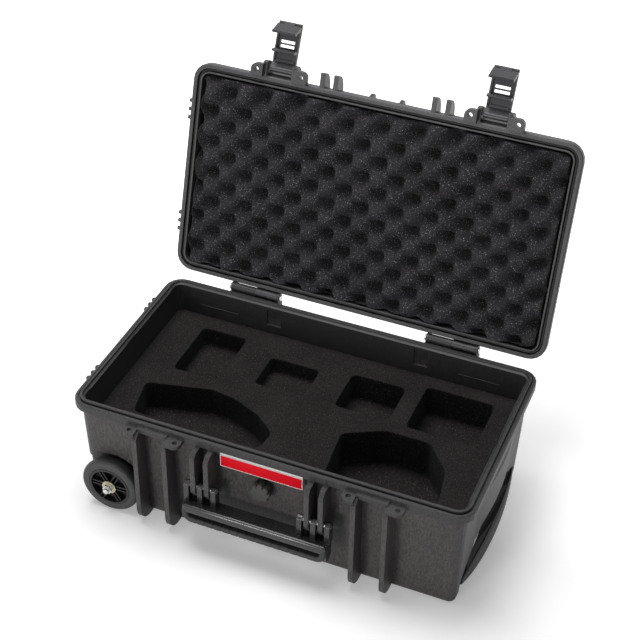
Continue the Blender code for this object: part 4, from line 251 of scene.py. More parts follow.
def shaded(name):
    """A new material with its Principled shader and object coordinates."""
    made = bpy.data.materials.new(name)
    made.use_nodes = True
    tree = made.node_tree
    shader = tree.nodes["Principled BSDF"]
    place = add(tree, "ShaderNodeTexCoord").outputs["Object"]
    return made, tree, shader, place


def ramp(tree, source, span, dark, light):
    """A colour that runs from dark to light over a span of a value."""
    made = add(tree, "ShaderNodeValToRGB", Fac=source)
    for element, position, colour in zip(made.color_ramp.elements, span, (dark, light)):
        element.position = position
        element.color = (*colour, 1.0)
    return made.outputs["Color"]


def spread(tree, source, to, span=NOISE_SPAN):
    """A value mapped from a span to a new range, and held inside it."""
    ends = {"From_Min": span[0], "From_Max": span[1], "To_Min": to[0], "To_Max": to[1]}
    return add(tree, "ShaderNodeMapRange", Value=source, **ends).outputs["Result"]


def noise_at(tree, place, scale, detail, rough, warp=0.0):
    """Noise at a place, as a value."""
    shape = {"Scale": scale, "Detail": detail, "Roughness": rough, "Distortion": warp}
    return add(tree, "ShaderNodeTexNoise", Vector=place, **shape).outputs["Fac"]


def stretched(tree, place, turn, scale):
    """Coordinates turned and stretched, for streaks."""
    change = {"Rotation": [math.radians(angle) for angle in turn], "Scale": scale}
    return add(tree, "ShaderNodeMapping", Vector=place, **change).outputs["Vector"]


def mixed(tree, share, low, high):
    """Two colours mixed by a share."""
    made = add(tree, "ShaderNodeMix", {"data_type": "RGBA"}, Factor=share)
    for socket, value in zip([s for s in made.inputs if s.type == "RGBA"], (low, high)):
        feed(tree, socket, value)
    return next(s for s in made.outputs if s.type == "RGBA")


def calc(tree, operation, *values):
    """The result of a math node."""
    made = add(tree, "ShaderNodeMath", {"operation": operation})
    for socket, value in zip(made.inputs, values):
        feed(tree, socket, value)
    return made.outputs["Value"]


def weighed(tree, *parts):
    """The sum of values by their shares, from (value, share) pairs."""
    total, *others = [calc(tree, "MULTIPLY", value, share) for value, share in parts]
    for other in others:
        total = calc(tree, "ADD", total, other)
    return total


def dot(tree, first, second):
    """How far two vectors point the same way."""
    made = add(tree, "ShaderNodeVectorMath", {"operation": "DOT_PRODUCT"})
    feed(tree, made.inputs[0], first)
    feed(tree, made.inputs[1], second)
    return made.outputs["Value"]


def edge_mask(tree, radius, span):
    """A rounded normal, and white along edges, from how far it leans away from the true one."""
    soft = add(tree, "ShaderNodeBevel", {"samples": EDGE_SAMPLES}, Radius=radius).outputs["Normal"]
    true = add(tree, "ShaderNodeNewGeometry").outputs["Normal"]
    return soft, spread(tree, dot(tree, soft, true), (1.0, 0.0), span)


def bump(tree, height, distance, strength, **normal):
    """A normal that leans with a height."""
    relief = {"Height": height, "Distance": distance, "Strength": strength}
    return add(tree, "ShaderNodeBump", **relief, **normal).outputs["Normal"]


# Moulded plastic

STREAK_TURN = (20, 35, 15)
STREAK_SCALE = (420, 420, 130)
STREAK_SHARE = 0.55
CLOUD_SHARE = 0.15
SPECK_SHARE = 0.30
SPECK_RATE = 0.6
PLASTIC_TONES = (0.43, 0.585)
PLASTIC_GLOSS = (0.38, 0.62)
PLASTIC_EDGE = 0.0007
PLASTIC_EDGE_SPAN = (0.80, 0.995)
RUB_SPAN = (0.35, 0.65)
RUB_SHARES = (0.15, 1.0)
GRAIN_STRENGTH = 0.5

# Painted shade: the base's inner walls and rim are drawn darker and cooler than its outside,
# standing in for the shade that falls there
INSIDE_X = 0.2622
INSIDE_Y = 0.1388
INSIDE_LEAN = -0.05
INSIDE_SHADE_SHARE = 0.80
RIM_SPAN = (0.146, 0.150)
RIM_SHADE_SHARES = (0.0, 0.55)
INNER_SHADE_BLACK = (0.0135, 0.0135, 0.0158)


def inner_shade_share(tree, place):
    """How much painted shade a place takes: the inner walls and, above them, the rim."""
    axes = add(tree, "ShaderNodeSeparateXYZ", Vector=place).outputs
    facing = dot(tree, place, add(tree, "ShaderNodeTexCoord").outputs["Normal"])
    inside = calc(
        tree,
        "MULTIPLY",
        calc(tree, "LESS_THAN", calc(tree, "ABSOLUTE", axes["X"]), INSIDE_X),
        calc(tree, "LESS_THAN", calc(tree, "ABSOLUTE", axes["Y"]), INSIDE_Y),
    )
    inside = calc(tree, "MULTIPLY", inside, calc(tree, "LESS_THAN", facing, INSIDE_LEAN))
    inside = calc(tree, "MULTIPLY", inside, INSIDE_SHADE_SHARE)
    return calc(tree, "MAXIMUM", spread(tree, axes["Z"], RIM_SHADE_SHARES, RIM_SPAN), inside)


def plastic(name, dark, light, wear_and_highlight, rough, grain, depth, specular=0.35, painted_inner_shade=False):
    """Moulded plastic: fine grain, faint flow streaks, paler edges that are partly wear and partly
    painted highlight, and painted shade inside the base where asked.
    """
    made, tree, shader, place = shaded(name)
    lines = stretched(tree, place, STREAK_TURN, STREAK_SCALE)
    flow = noise_at(tree, lines, scale=1.0, detail=6.0, rough=0.7, warp=0.8)
    cloud = noise_at(tree, place, scale=9.0, detail=3.0, rough=0.5)
    speck = noise_at(tree, place, scale=grain * SPECK_RATE, detail=2.0, rough=0.7)
    tone = weighed(tree, (flow, STREAK_SHARE), (cloud, CLOUD_SHARE), (speck, SPECK_SHARE))
    colour = ramp(tree, tone, PLASTIC_TONES, dark, light)
    # Painted shade: the inner walls and rim are mixed towards a cool black
    if painted_inner_shade:
        colour = mixed(tree, inner_shade_share(tree, place), colour, INNER_SHADE_BLACK)
    soft, edge = edge_mask(tree, PLASTIC_EDGE, PLASTIC_EDGE_SPAN)
    # Paler edges: partly wear, partly a painted highlight along the edges
    rub = noise_at(tree, place, scale=60.0, detail=4.0, rough=0.7)
    rubbed_and_highlit = calc(tree, "MULTIPLY", edge, spread(tree, rub, RUB_SHARES, RUB_SPAN))
    pits = noise_at(tree, place, scale=grain, detail=3.0, rough=0.6)
    dress(
        tree,
        shader,
        Base_Color=mixed(tree, rubbed_and_highlit, colour, wear_and_highlight),
        Roughness=spread(tree, tone, rough, PLASTIC_GLOSS),
        Normal=bump(tree, pits, depth, GRAIN_STRENGTH, Normal=soft),
        Specular_IOR_Level=specular,
    )
    return made


# Open-cell foam

FINE_RATE = 0.8
FINE_SHARE = 0.8
SOFT_CLOUD_SHARE = 0.2
SPOT_RATE = 0.6
SPOT_SPAN = (0.70, 0.79)
FOAM_TONES = (0.40, 0.60)
FOAM_ROUGH = (0.82, 1.0)
PORE_STRENGTH = 0.9


def foam(name, dark, light, speck, pore, depth):
    """Open-cell foam: pores, pale specks and soft cloudy tone."""
    made, tree, shader, place = shaded(name)
    cells = add(tree, "ShaderNodeTexVoronoi", Vector=place, Scale=pore).outputs["Distance"]
    fine = noise_at(tree, place, scale=pore * FINE_RATE, detail=2.0, rough=0.75)
    cloud = noise_at(tree, place, scale=16.0, detail=3.0, rough=0.5)
    spots = noise_at(tree, place, scale=pore * SPOT_RATE, detail=0.0, rough=0.5)
    tone = weighed(tree, (fine, FINE_SHARE), (cloud, SOFT_CLOUD_SHARE))
    colour = ramp(tree, tone, FOAM_TONES, dark, light)
    dress(
        tree,
        shader,
        Base_Color=mixed(tree, spread(tree, spots, WHOLE_SPAN, SPOT_SPAN), colour, speck),
        Roughness=spread(tree, fine, FOAM_ROUGH),
        Normal=bump(tree, calc(tree, "ADD", cells, fine), depth, PORE_STRENGTH),
        Specular_IOR_Level=0.05,
        Sheen_Weight=0.02,
        Sheen_Roughness=0.6,
    )
    return made


# Metal

METAL_EDGE = 0.0003
METAL_EDGE_SPAN = (0.75, 0.99)
METAL_EDGE_SHARE = 0.5
BRUSH_DEPTH = 0.00003
BRUSH_STRENGTH = 0.5


def metal(name, dark, light, rough, scale=900.0, stretch=(1, 1, 1)):
    """Machined or drawn metal: fine brushed lines, smudges and bright edges."""
    made, tree, shader, place = shaded(name)
    drawn = stretched(tree, place, (0, 0, 0), stretch)
    lines = noise_at(tree, drawn, scale=scale, detail=4.0, rough=0.6)
    smudge = noise_at(tree, place, scale=130.0, detail=3.0, rough=0.6)
    soft, edge = edge_mask(tree, METAL_EDGE, METAL_EDGE_SPAN)
    colour = mixed(tree, spread(tree, lines, WHOLE_SPAN), dark, light)
    dress(
        tree,
        shader,
        Base_Color=mixed(tree, calc(tree, "MULTIPLY", edge, METAL_EDGE_SHARE), colour, light),
        Roughness=spread(tree, smudge, rough),
        Normal=bump(tree, lines, BRUSH_DEPTH, BRUSH_STRENGTH, Normal=soft),
        Metallic=1.0,
    )
    return made


# Red card

CARD_DARK = (0.56, 0.0015, 0.009)
CARD_LIGHT = (0.68, 0.0025, 0.013)
CARD_TONES = (0.36, 0.64)
CARD_ROUGH = (0.50, 0.62)
CARD_GRAIN_SHARE = 0.4
CARD_CLOUD_SHARE = 0.6
CARD_WAVE_DEPTH = 0.0003
CARD_WAVE_STRENGTH = 0.4


def label_card(name):
    """Plain red card with a fine grain."""
    made, tree, shader, place = shaded(name)
    grain = noise_at(tree, place, scale=900.0, detail=2.0, rough=0.5)
    cloud = noise_at(tree, place, scale=45.0, detail=3.0, rough=0.55)
    tone = weighed(tree, (grain, CARD_GRAIN_SHARE), (cloud, CARD_CLOUD_SHARE))
    dress(
        tree,
        shader,
        Base_Color=ramp(tree, tone, CARD_TONES, CARD_DARK, CARD_LIGHT),
        Roughness=spread(tree, tone, CARD_ROUGH),
        Normal=bump(tree, cloud, CARD_WAVE_DEPTH, CARD_WAVE_STRENGTH),
        Specular_IOR_Level=0.08,
    )
    return made


# Finishes

BLACK = (0.019, 0.0168, 0.0165)
BLACK_LIGHT = (0.070, 0.0625, 0.0605)
# Edge colour: partly wear, partly painted highlight
WEAR_AND_HIGHLIGHT = (0.125, 0.120, 0.122)

finishes = {
    "shell": plastic(
        "shell_plastic",
        dark=BLACK,
        light=BLACK_LIGHT,
        wear_and_highlight=WEAR_AND_HIGHLIGHT,
        rough=(0.40, 0.58),
        grain=900.0,
        depth=0.00026,
        painted_inner_shade=True,
    ),
    "lid": plastic(
        "lid_plastic",
        dark=(0.0165, 0.0160, 0.0172),
        light=(0.058, 0.056, 0.061),
        wear_and_highlight=(0.13, 0.128, 0.135),
        rough=(0.36, 0.54),
        grain=900.0,
        depth=0.00026,
    ),
    "latch": plastic(
        "latch_plastic",
        dark=(0.030, 0.030, 0.034),
        light=(0.048, 0.048, 0.055),
        wear_and_highlight=(0.08, 0.08, 0.085),
        rough=(0.30, 0.44),
        grain=1500.0,
        depth=0.00008,
    ),
    "handle": plastic(
        "handle_plastic",
        dark=(0.014, 0.014, 0.0145),
        light=(0.022, 0.022, 0.023),
        wear_and_highlight=(0.05, 0.05, 0.052),
        rough=(0.16, 0.27),
        grain=1400.0,
        depth=0.00004,
        specular=0.5,
    ),
    "knob": plastic(
        "knob_plastic",
        dark=(0.030, 0.029, 0.028),
        light=(0.050, 0.048, 0.047),
        wear_and_highlight=(0.09, 0.088, 0.085),
        rough=(0.45, 0.6),
        grain=1200.0,
        depth=0.00015,
    ),
    "cover": plastic(
        "cover_plastic",
        dark=BLACK,
        light=BLACK_LIGHT,
        wear_and_highlight=WEAR_AND_HIGHLIGHT,
        rough=(0.42, 0.60),
        grain=1000.0,
        depth=0.00018,
    ),
    "inner": plastic(
        "inner_plastic",
        dark=(0.018, 0.018, 0.018),
        light=(0.030, 0.030, 0.030),
        wear_and_highlight=WEAR_AND_HIGHLIGHT,
        rough=(0.40, 0.55),
        grain=1100.0,
        depth=0.0001,
    ),
    "hub": plastic(
        "hub_plastic",
        dark=(0.010, 0.010, 0.010),
        light=(0.017, 0.017, 0.017),
        wear_and_highlight=(0.05, 0.05, 0.05),
        rough=(0.32, 0.45),
        grain=1200.0,
        depth=0.00008,
    ),
    "pull": plastic(
        "pull_grip_plastic",
        dark=(0.010, 0.010, 0.0108),
        light=(0.017, 0.017, 0.018),
        wear_and_highlight=(0.04, 0.04, 0.043),
        rough=(0.48, 0.62),
        grain=1100.0,
        depth=0.00016,
    ),
    "tyre": plastic(
        "tyre_rubber",
        dark=(0.032, 0.031, 0.031),
        light=(0.052, 0.050, 0.050),
        wear_and_highlight=(0.06, 0.058, 0.056),
        rough=(0.50, 0.68),
        grain=1000.0,
        depth=0.00012,
    ),
    "rubber": plastic(
        "grip_rubber",
        dark=(0.022, 0.0215, 0.021),
        light=(0.034, 0.033, 0.032),
        wear_and_highlight=(0.06, 0.058, 0.056),
        rough=(0.55, 0.75),
        grain=1100.0,
        depth=0.00014,
    ),
    "seal": plastic(
        "seal_rubber",
        dark=(0.010, 0.010, 0.010),
        light=(0.018, 0.018, 0.018),
        wear_and_highlight=(0.03, 0.03, 0.03),
        rough=(0.55, 0.7),
        grain=1200.0,
        depth=0.00008,
    ),
    "nylon": plastic(
        "bush_nylon",
        dark=(0.55, 0.53, 0.47),
        light=(0.66, 0.64, 0.58),
        wear_and_highlight=(0.75, 0.74, 0.70),
        rough=(0.35, 0.5),
        grain=900.0,
        depth=0.00006,
    ),
    "tray": plastic(
        "tray_plastic",
        dark=(0.66, 0.65, 0.64),
        light=(0.76, 0.75, 0.74),
        wear_and_highlight=(0.85, 0.85, 0.84),
        rough=(0.25, 0.4),
        grain=1200.0,
        depth=0.00004,
    ),
    "card": label_card("name_card_red"),
    "steel": metal(
        "bright_steel",
        dark=(0.50, 0.50, 0.50),
        light=(0.72, 0.72, 0.71),
        rough=(0.18, 0.34),
    ),
    "brass": metal(
        "plated_brass",
        dark=(0.34, 0.30, 0.21),
        light=(0.62, 0.56, 0.42),
        rough=(0.24, 0.40),
    ),
    "alloy": metal(
        "anodised_alloy",
        dark=(0.10, 0.10, 0.105),
        light=(0.16, 0.16, 0.165),
        rough=(0.28, 0.42),
        stretch=(0.03, 1, 1),
    ),
    "screw": metal(
        "black_screw",
        dark=(0.05, 0.05, 0.05),
        light=(0.09, 0.09, 0.09),
        rough=(0.30, 0.45),
        scale=1200.0,
    ),
    "lid_foam": foam(
        "lid_foam_charcoal",
        dark=(0.014, 0.0131, 0.0148),
        light=(0.040, 0.0375, 0.0420),
        speck=(0.26, 0.25, 0.26),
        pore=1400.0,
        depth=0.0004,
    ),
    "foam": foam(
        "base_foam_charcoal",
        dark=(0.008, 0.0072, 0.0068),
        light=(0.030, 0.0268, 0.0265),
        speck=(0.078, 0.072, 0.068),
        pore=1100.0,
        depth=0.0005,
    ),
}

# Which finish each solid wears, by how its name starts, the first match counting
WEARS = (
    ("base_shell", "shell"),
    ("lid_shell", "lid"),
    ("bottom_cover", "cover"),
    ("cover_screw", "screw"),
    ("name_plate_tray", "tray"),
    ("name_card", "card"),
    ("valve_knob", "knob"),
    ("valve", "latch"),
    ("hinge_pin", "steel"),
    ("handle_frame", "handle"),
    ("handle_grip", "rubber"),
    ("handle_pin", "steel"),
    ("wheel_tyre", "tyre"),
    ("wheel_hub", "hub"),
    ("axle_bush", "nylon"),
    ("axle_washer", "brass"),
    ("axle", "steel"),
    ("trolley_outer", "alloy"),
    ("trolley_middle", "alloy"),
    ("trolley_inner", "alloy"),
    ("trolley_grip", "pull"),
    ("trolley_trigger", "latch"),
    ("trolley", "inner"),
    ("trigger_spring", "steel"),
    ("lid_seal", "seal"),
    ("lid_foam", "lid_foam"),
    ("base_foam", "foam"),
)

for name, node in nodes.items():
    if name.startswith("latch"):
        wear = "steel" if name.endswith("pin") else "latch"
    else:
        wear = next(finish for start, finish in WEARS if name.startswith(start))
    for slot in node.material_slots:
        slot.material = finishes[wear]

# Raised strips under the rim, inside the base


def strip(name, start, end, inward, finish):
    """A slim rounded strip with tapered ends, standing out from the inner wall."""
    start, end, inward = Vector(start), Vector(end), Vector(inward)
    length = (end - start).length
    along = (end - start).normalized()
    body = bmesh.new()
    rings = []
    for share in STRIP_SHARES:
        taper = min(1.0, min(share, 1 - share) * length / STRIP_TAPER)
        reach = STRIP_SINK + (STRIP_PROUD - STRIP_SINK) * taper
        centre = start + along * length * share
        ring = []
        for step in range(STRIP_STEPS + 1):
            turn = math.pi * step / STRIP_STEPS
            out = reach * min(1.0, STRIP_FULLNESS * math.sin(turn)) - STRIP_SINK
            up = -STRIP_HEIGHT / 2 * math.cos(turn)
            ring.append(body.verts.new(centre + inward * out + Vector((0, 0, up))))
        rings.append(ring)
    skin(body, rings)
    made = finished(name, body, finish)
    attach(made, "base")


STRIP_RUNS = (("rear", STRIP_GAP_FAR, STRIP_END_Y), ("front", -STRIP_END_Y, -STRIP_GAP_NEAR))

for side, side_name in ((-1, "left"), (1, "right")):
    wall = side * (CASE_LENGTH / 2 - INNER_INSET)
    for run_name, first_y, last_y in STRIP_RUNS:
        strip(
            f"wall_strip_{side_name}_{run_name}",
            start=(wall, first_y, STRIP_Z),
            end=(wall, last_y, STRIP_Z),
            inward=(-side, 0, 0),
            finish=finishes["shell"],
        )

# Carry handle: a glossy bar, and a grooved soft loop under it with a slot between


def swept(name, path, y, half_a, half_b, radius, finish):
    """A rounded bar along a path of (x, z, shrink) in a plane square to Y, closed by domed ends."""
    turns = [math.radians(angle) for angle in DOME_ANGLES]
    dome = [(radius * math.sin(turn), radius * (1 - math.cos(turn))) for turn in turns]
    last = len(path) - 1
    body = bmesh.new()
    rings = []
    for index, (x, z, shrink) in enumerate(path):
        before, after = path[max(index - 1, 0)], path[min(index + 1, last)]
        along = Vector((after[0] - before[0], 0.0, after[1] - before[1])).normalized()
        across = Vector((-along.z, 0.0, along.x))
        centre = Vector((x, y, z))
        steps = [(0.0, 0.0)]
        if index == 0:
            steps = [(-out, less) for out, less in reversed(dome)] + steps
        if index == last:
            steps += dome
        for out, less in steps:
            inset = shrink + less
            corner = max(radius - inset, LEAST_ROUND)
            ring = []
            for a, b in rounded_section(half_a - inset, half_b - inset, corner):
                ring.append(body.verts.new(centre + along * out + across * a + Vector((0, b, 0))))
            rings.append(ring)
    skin(body, rings)
    return finished(name, body, finish)


loop_end = []
for step in range(LOOP_END_STEPS + 1):
    share = step / LOOP_END_STEPS
    loop_end.append((-LOOP_HALF, LOOP_TOP + (LOOP_Z + LOOP_BEND - LOOP_TOP) * share, 0.0))
for step in range(1, LOOP_BEND_STEPS):
    turn = math.pi / 2 * step / LOOP_BEND_STEPS
    bend_x = -LOOP_HALF + LOOP_BEND * (1 - math.cos(turn))
    bend_z = LOOP_Z + LOOP_BEND * (1 - math.sin(turn))
    loop_end.append((bend_x, bend_z, 0.0))
loop_end.append((-LOOP_HALF + LOOP_BEND, LOOP_Z, 0.0))

grooves = []
for groove in range(GROOVE_COUNT):
    middle = GROOVE_FIRST + GROOVE_PITCH * groove
    for side in (-1, 1):
        lip = (middle + side * GROOVE_HALF, LOOP_Z, 0.0)
        foot = (middle + side * GROOVE_FLOOR * GROOVE_HALF, LOOP_Z, GROOVE_DEPTH)
        grooves += (lip, foot) if side < 0 else (foot, lip)

handle_loop = swept(
    "handle_loop",
    path=loop_end + grooves + [(-x, z, shrink) for x, z, shrink in reversed(loop_end)],
    y=LOOP_Y,
    half_a=LOOP_HIGH / 2,
    half_b=LOOP_DEEP / 2,
    radius=LOOP_ROUND,
    finish=finishes["rubber"],
)
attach(handle_loop, "front_handle")
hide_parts("handle_grip")

handle_bar = swept(
    "handle_bar",
    path=[(BAR_HALF * share, BAR_Z, 0.0) for share in BAR_SHARES],
    y=BAR_Y,
    half_a=BAR_HIGH / 2,
    half_b=BAR_DEEP / 2,
    radius=BAR_ROUND,
    finish=finishes["handle"],
)
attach(handle_bar, "front_handle")

# Red card, let into the tray's face below its white top strip


def card_face(name, low, high, finish):
    """A slim card with round corners and a softened front edge."""
    centre_x, centre_z = (low[0] + high[0]) / 2, (low[2] + high[2]) / 2
    half_x, half_z = (high[0] - low[0]) / 2, (high[2] - low[2]) / 2
    body = bmesh.new()
    rings = []
    for y, inset in ((high[1], 0.0), (low[1] + CARD_SOFT, 0.0), (low[1], CARD_SOFT)):
        outline = rounded_section(half_x - inset, half_z - inset, CARD_CORNER - inset)
        rings.append([body.verts.new((centre_x + a, y, centre_z + b)) for a, b in outline])
    skin(body, rings)
    return finished(name, body, finish)


tray_low, tray_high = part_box("name_plate_tray")
card_low, card_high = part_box("name_card")
card = card_face(
    "name_card_face",
    low=(tray_low[0] + CARD_BORDER, card_low[1] - CARD_PROUD, tray_low[2] + CARD_BORDER),
    high=(tray_high[0] - CARD_BORDER, card_high[1], tray_high[2] - CARD_TOP_STRIP),
    finish=finishes["card"],
)
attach(card, "base")
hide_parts("name_card")

# Tyres with a crowned tread, on the same hubs


def crowned_tyre(name, x, z, face_y, finish):
    """A tyre turned from its section; the face looks out along Y, away from the case."""
    out = math.copysign(1, face_y)
    body = bmesh.new()
    rings = []
    for step in range(TYRE_STEPS):
        turn = 2 * math.pi * step / TYRE_STEPS
        ring = []
        for radius, depth in TYRE_SECTION:
            at = (x + radius * math.cos(turn), face_y - out * depth, z + radius * math.sin(turn))
            ring.append(body.verts.new(at))
        rings.append(ring)
    for step, ring in enumerate(rings):
        bridge(body, ring, rings[(step + 1) % TYRE_STEPS])
    return finished(name, body, finish)


for end in ("front", "rear"):
    low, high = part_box(f"wheel_tyre_{end}")
    tyre = crowned_tyre(
        f"crowned_tyre_{end}",
        x=(low[0] + high[0]) / 2,
        z=(low[2] + high[2]) / 2,
        face_y=low[1] if end == "front" else high[1],
        finish=finishes["tyre"],
    )
    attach(tyre, f"wheel_{end}")
    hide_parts(f"wheel_tyre_{end}")

# Convoluted foam in the lid


def lid_opened(point):
    """A point drawn on the closed lid, moved to where the open lid holds it."""
    angle = math.radians(LID_OPEN_ANGLE)
    y, z = point[1] - HINGE_Y, point[2] - HINGE_Z
    turned_y = y * math.cos(angle) + z * math.sin(angle)
    turned_z = -y * math.sin(angle) + z * math.cos(angle)
    return Vector((point[0], HINGE_Y + turned_y, HINGE_Z + turned_z))


def rounded_half_width(y, half_x, half_y, radius):
    """How far a rounded rectangle reaches along X at a given Y."""
    beyond = abs(y) - (half_y - radius)
    if beyond <= 0:
        return half_x
    return half_x - radius + math.sqrt(max(radius**2 - beyond**2, 0.0))


def egg_rise(x, y):
    """How far the foam stands off its flat back: full fingers with narrow valleys between."""
    wave = 0.0
    for rate_x, rate_y in EGG_WAVES:
        turns = (x - EGG_PEAK_X) * rate_x + (y - EGG_PEAK_Y) * rate_y
        wave += math.cos(2 * math.pi * turns) / 2
    stand = max((1 + wave) / 2, 0.0) ** EGG_FULLNESS
    wave = stand + stand * stand * (3 - 2 * stand) - 1
    uneven = noise.noise(Vector((x * EGG_UNEVEN_RATE, y * EGG_UNEVEN_RATE, EGG_UNEVEN_SLICE)))
    fine = noise.noise(Vector((x * EGG_FINE_RATE, y * EGG_FINE_RATE, EGG_FINE_SLICE)))
    height = 1 + wave * (1 - EGG_UNEVEN_SHARE + EGG_UNEVEN_SHARE * uneven)
    return EGG_BACK + EGG_RISE * height / 2 + EGG_FINE_DEPTH * fine


def egg_foam(name, finish):
    """A fine height field of drooping fingers, with its cut sides and flat back."""
    back = BASE_HEIGHT + LID_HEIGHT - EGG_CEILING
    half_x = CASE_LENGTH / 2 - EGG_INSET
    half_y = CASE_WIDTH / 2 - EGG_INSET
    columns = round(2 * half_x / EGG_STEP)
    rows = round(2 * half_y / EGG_STEP)
    body = bmesh.new()
    grid = []
    for j in range(rows + 1):
        y = -half_y + 2 * half_y * j / rows
        reach = rounded_half_width(y, half_x, half_y, CORNER_RADIUS - EGG_INSET)
        line = []
        for i in range(columns + 1):
            x = reach * (2 * i / columns - 1)
            rise = egg_rise(x, y)
            to_edge = min(reach - abs(x), half_y - abs(y)) / EGG_DROOP_EDGE
            droop = rise * max(min(1.0, to_edge), 0.0)
            at = (x + EGG_DROOP_X * droop, y + EGG_DROOP_Y * droop, back - rise)
            line.append(body.verts.new(at))
        grid.append(line)
    for first, second in zip(grid, grid[1:]):
        for i in range(columns):
            body.faces.new((first[i], first[i + 1], second[i + 1], second[i]))
    outline = list(grid[0])
    outline += [line[-1] for line in grid[1:]]
    outline += reversed(grid[-1][:-1])
    outline += [line[0] for line in reversed(grid[1:-1])]
    upper = outline
    for step in range(1, EGG_SIDE_STEPS + 1):
        share = step / EGG_SIDE_STEPS
        lower = []
        for vert in outline:
            low = vert.co.z + (back - vert.co.z) * share
            lower.append(body.verts.new((vert.co.x, vert.co.y, low)))
        bridge(body, upper, lower)
        upper = lower
    body.faces.new(upper)
    for vert in body.verts:
        vert.co = lid_opened(vert.co)
    return finished(name, body, finish, sharp=False)


lid_foam = egg_foam("lid_egg_foam", finishes["lid_foam"])
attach(lid_foam, "lid")
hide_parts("lid_foam")

# Foam block in the base, and the sheet under it


def upper_edges(body, level):
    """The sharp edges round a level top face."""
    found = []
    for edge in body.edges:
        flat = all(abs(vert.co.z - level) < FOAM_LEVEL_SLACK for vert in edge.verts)
        if flat and len(edge.link_faces) == 2 and edge.calc_face_angle(0.0) > FOAM_EDGE_ANGLE:
            found.append(edge)
    return found


def soften_top(body, level):
    """Round and slightly wavy edges along a block's top and its pockets."""
    bmesh.ops.dissolve_limit(
        body, angle_limit=FOAM_FLAT_ANGLE, verts=body.verts, edges=body.edges
    )
    bmesh.ops.bevel(
        body,
        geom=upper_edges(body, level),
        offset=FOAM_EDGE,
        offset_type="OFFSET",
        segments=FOAM_EDGE_STEPS,
        profile=0.5,
        affect="EDGES",
        clamp_overlap=True,
    )
    bmesh.ops.triangulate(body, faces=body.faces)
    for _ in range(FOAM_DIVISIONS):
        long_edges = [edge for edge in body.edges if edge.calc_length() > FOAM_STEP]
        bmesh.ops.subdivide_edges(body, edges=long_edges, cuts=1)
        bmesh.ops.triangulate(body, faces=body.faces)
    for vert in body.verts:
        if vert.co.z - level > -FOAM_EDGE:
            vert.co.z += min(noise.noise(vert.co * FOAM_WAVE_RATE) * FOAM_WAVE, 0.0)


def solid_copy(node, name, finish, level=None):
    """A solid as a mesh of its own, with its top softened where a level is given."""
    mesh = nodes[node].data.copy()
    mesh.materials.clear()
    body = bmesh.new()
    body.from_mesh(mesh)
    bmesh.ops.remove_doubles(body, verts=body.verts, dist=FOAM_MERGE)
    if level is not None:
        soften_top(body, level)
    return finished(name, body, finish, mesh=mesh)


base_foam = solid_copy("base_foam", "base_foam_block", finishes["foam"], FOAM_TOP)
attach(base_foam, "base")
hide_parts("base_foam")
base_sheet = solid_copy("base_foam_sheet", "base_foam_layer", finishes["foam"])
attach(base_sheet, "base")
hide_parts("base_foam_sheet")

# Stage: a pale floor that glows white to the camera away from the case and behind it

FLOOR_HALF = 6.0
FLOOR_LEVEL = -0.0004
FLOOR_DARK = (0.80, 0.80, 0.80)
FLOOR_LIGHT = (0.83, 0.83, 0.83)
GLOW = (0.28, 0.9)
GLOW_SPAN = (0.44, 0.62)
REAR_GLOW = (0.0, 0.27)
REAR_GLOW_SPAN = (-0.02, 0.15)
SKY = (0.20, 1.0)
WHITE = (1.0, 1.0, 1.0)


def seen_ray(tree):
    """One for camera, mirror and glass rays, and nothing for the light that reaches the object."""
    rays = add(tree, "ShaderNodeLightPath").outputs
    seen = calc(tree, "MAXIMUM", rays["Is Camera Ray"], rays["Is Glossy Ray"])
    return calc(tree, "MAXIMUM", seen, rays["Is Transmission Ray"])


def pale_floor(name):
    """The floor's material: off-white, with its glow on seen rays only."""
    made, tree, shader, place = shaded(name)
    tone = noise_at(tree, place, scale=3.0, detail=2.0, rough=0.5)
    reach = add(tree, "ShaderNodeVectorMath", {"operation": "LENGTH"})
    feed(tree, reach.inputs[0], place)
    around = spread(tree, reach.outputs["Value"], GLOW, GLOW_SPAN)
    axes = add(tree, "ShaderNodeSeparateXYZ", Vector=place).outputs
    glow = calc(tree, "ADD", around, spread(tree, axes["Y"], REAR_GLOW, REAR_GLOW_SPAN))
    dress(
        tree,
        shader,
        Base_Color=ramp(tree, tone, NOISE_SPAN, FLOOR_DARK, FLOOR_LIGHT),
        Roughness=0.9,
        Specular_IOR_Level=0.1,
        Emission_Color=WHITE,
        Emission_Strength=calc(tree, "MULTIPLY", seen_ray(tree), glow),
    )
    return made


corner_signs = ((-1, -1), (1, -1), (1, 1), (-1, 1))
floor_corners = [(FLOOR_HALF * x, FLOOR_HALF * y, FLOOR_LEVEL) for x, y in corner_signs]
floor_mesh = bpy.data.meshes.new("floor")
floor_mesh.from_pydata(floor_corners, [], [(0, 1, 2, 3)])
floor_mesh.materials.append(pale_floor("pale_floor"))
floor = bpy.data.objects.new("floor", floor_mesh)
scene.collection.objects.link(floor)

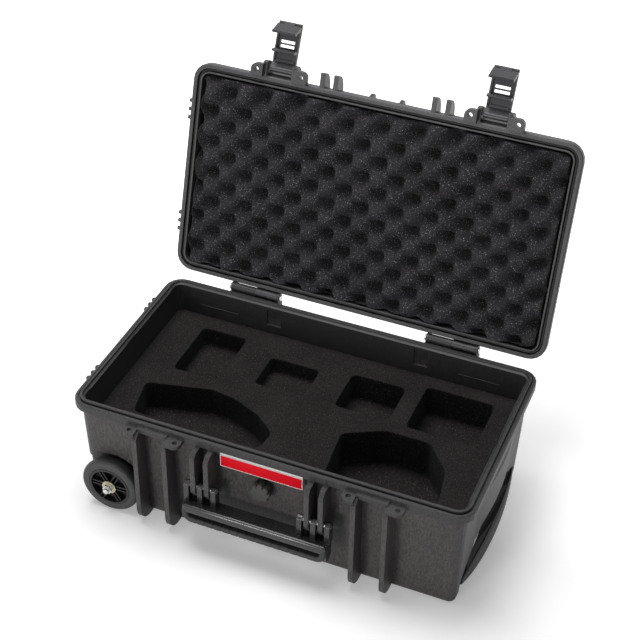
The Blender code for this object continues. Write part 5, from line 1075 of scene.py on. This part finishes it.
world = bpy.data.worlds.new("soft_white")
scene.world = world
world.use_nodes = True
sky_tree = world.node_tree
dress(
    sky_tree,
    sky_tree.nodes["Background"],
    Color=WHITE,
    Strength=spread(sky_tree, seen_ray(sky_tree), SKY, WHOLE_SPAN),
)


def soft_lamp(name, place, aim, size, power):
    """A square lamp at a place, turned to a point."""
    lamp = bpy.data.lights.new(name, "AREA")
    lamp.shape = "SQUARE"
    lamp.size = size
    lamp.energy = power
    made = bpy.data.objects.new(name, lamp)
    made.location = place
    made.rotation_euler = (Vector(aim) - Vector(place)).to_track_quat("-Z", "Y").to_euler()
    scene.collection.objects.link(made)


soft_lamp("key_light", place=(-0.45, 0.2, 2.4), aim=(0.0, 0.0, 0.15), size=1.4, power=50.0)
soft_lamp("front_light", place=(-0.6, -2.4, 0.32), aim=(0.0, 0.0, 0.10), size=0.55, power=26.0)

# Camera at the photograph's angle
CAMERA_PLACE = (0.5691, -1.3972, 1.4559)
CAMERA_AZIMUTH = math.radians(21.64)
CAMERA_ELEVATION = math.radians(37.89)
CAMERA_ROLL = math.radians(1.28)
CAMERA_LENS = 84.53
CAMERA_SENSOR = 36.0

forward = Vector(
    (
        -math.sin(CAMERA_AZIMUTH) * math.cos(CAMERA_ELEVATION),
        math.cos(CAMERA_AZIMUTH) * math.cos(CAMERA_ELEVATION),
        -math.sin(CAMERA_ELEVATION),
    )
)
level_right = forward.cross(Vector((0, 0, 1))).normalized()
level_up = level_right.cross(forward)
camera_right = math.cos(CAMERA_ROLL) * level_right + math.sin(CAMERA_ROLL) * level_up
camera_up = math.cos(CAMERA_ROLL) * level_up - math.sin(CAMERA_ROLL) * level_right
camera_turn = Matrix((camera_right, camera_up, -forward)).transposed().to_4x4()
camera_data = bpy.data.cameras.new("camera")
camera_data.lens = CAMERA_LENS
camera_data.sensor_width = CAMERA_SENSOR
camera = bpy.data.objects.new("camera", camera_data)
camera.matrix_world = Matrix.Translation(CAMERA_PLACE) @ camera_turn
scene.collection.objects.link(camera)
scene.camera = camera

scene.view_settings.view_transform = "Standard"
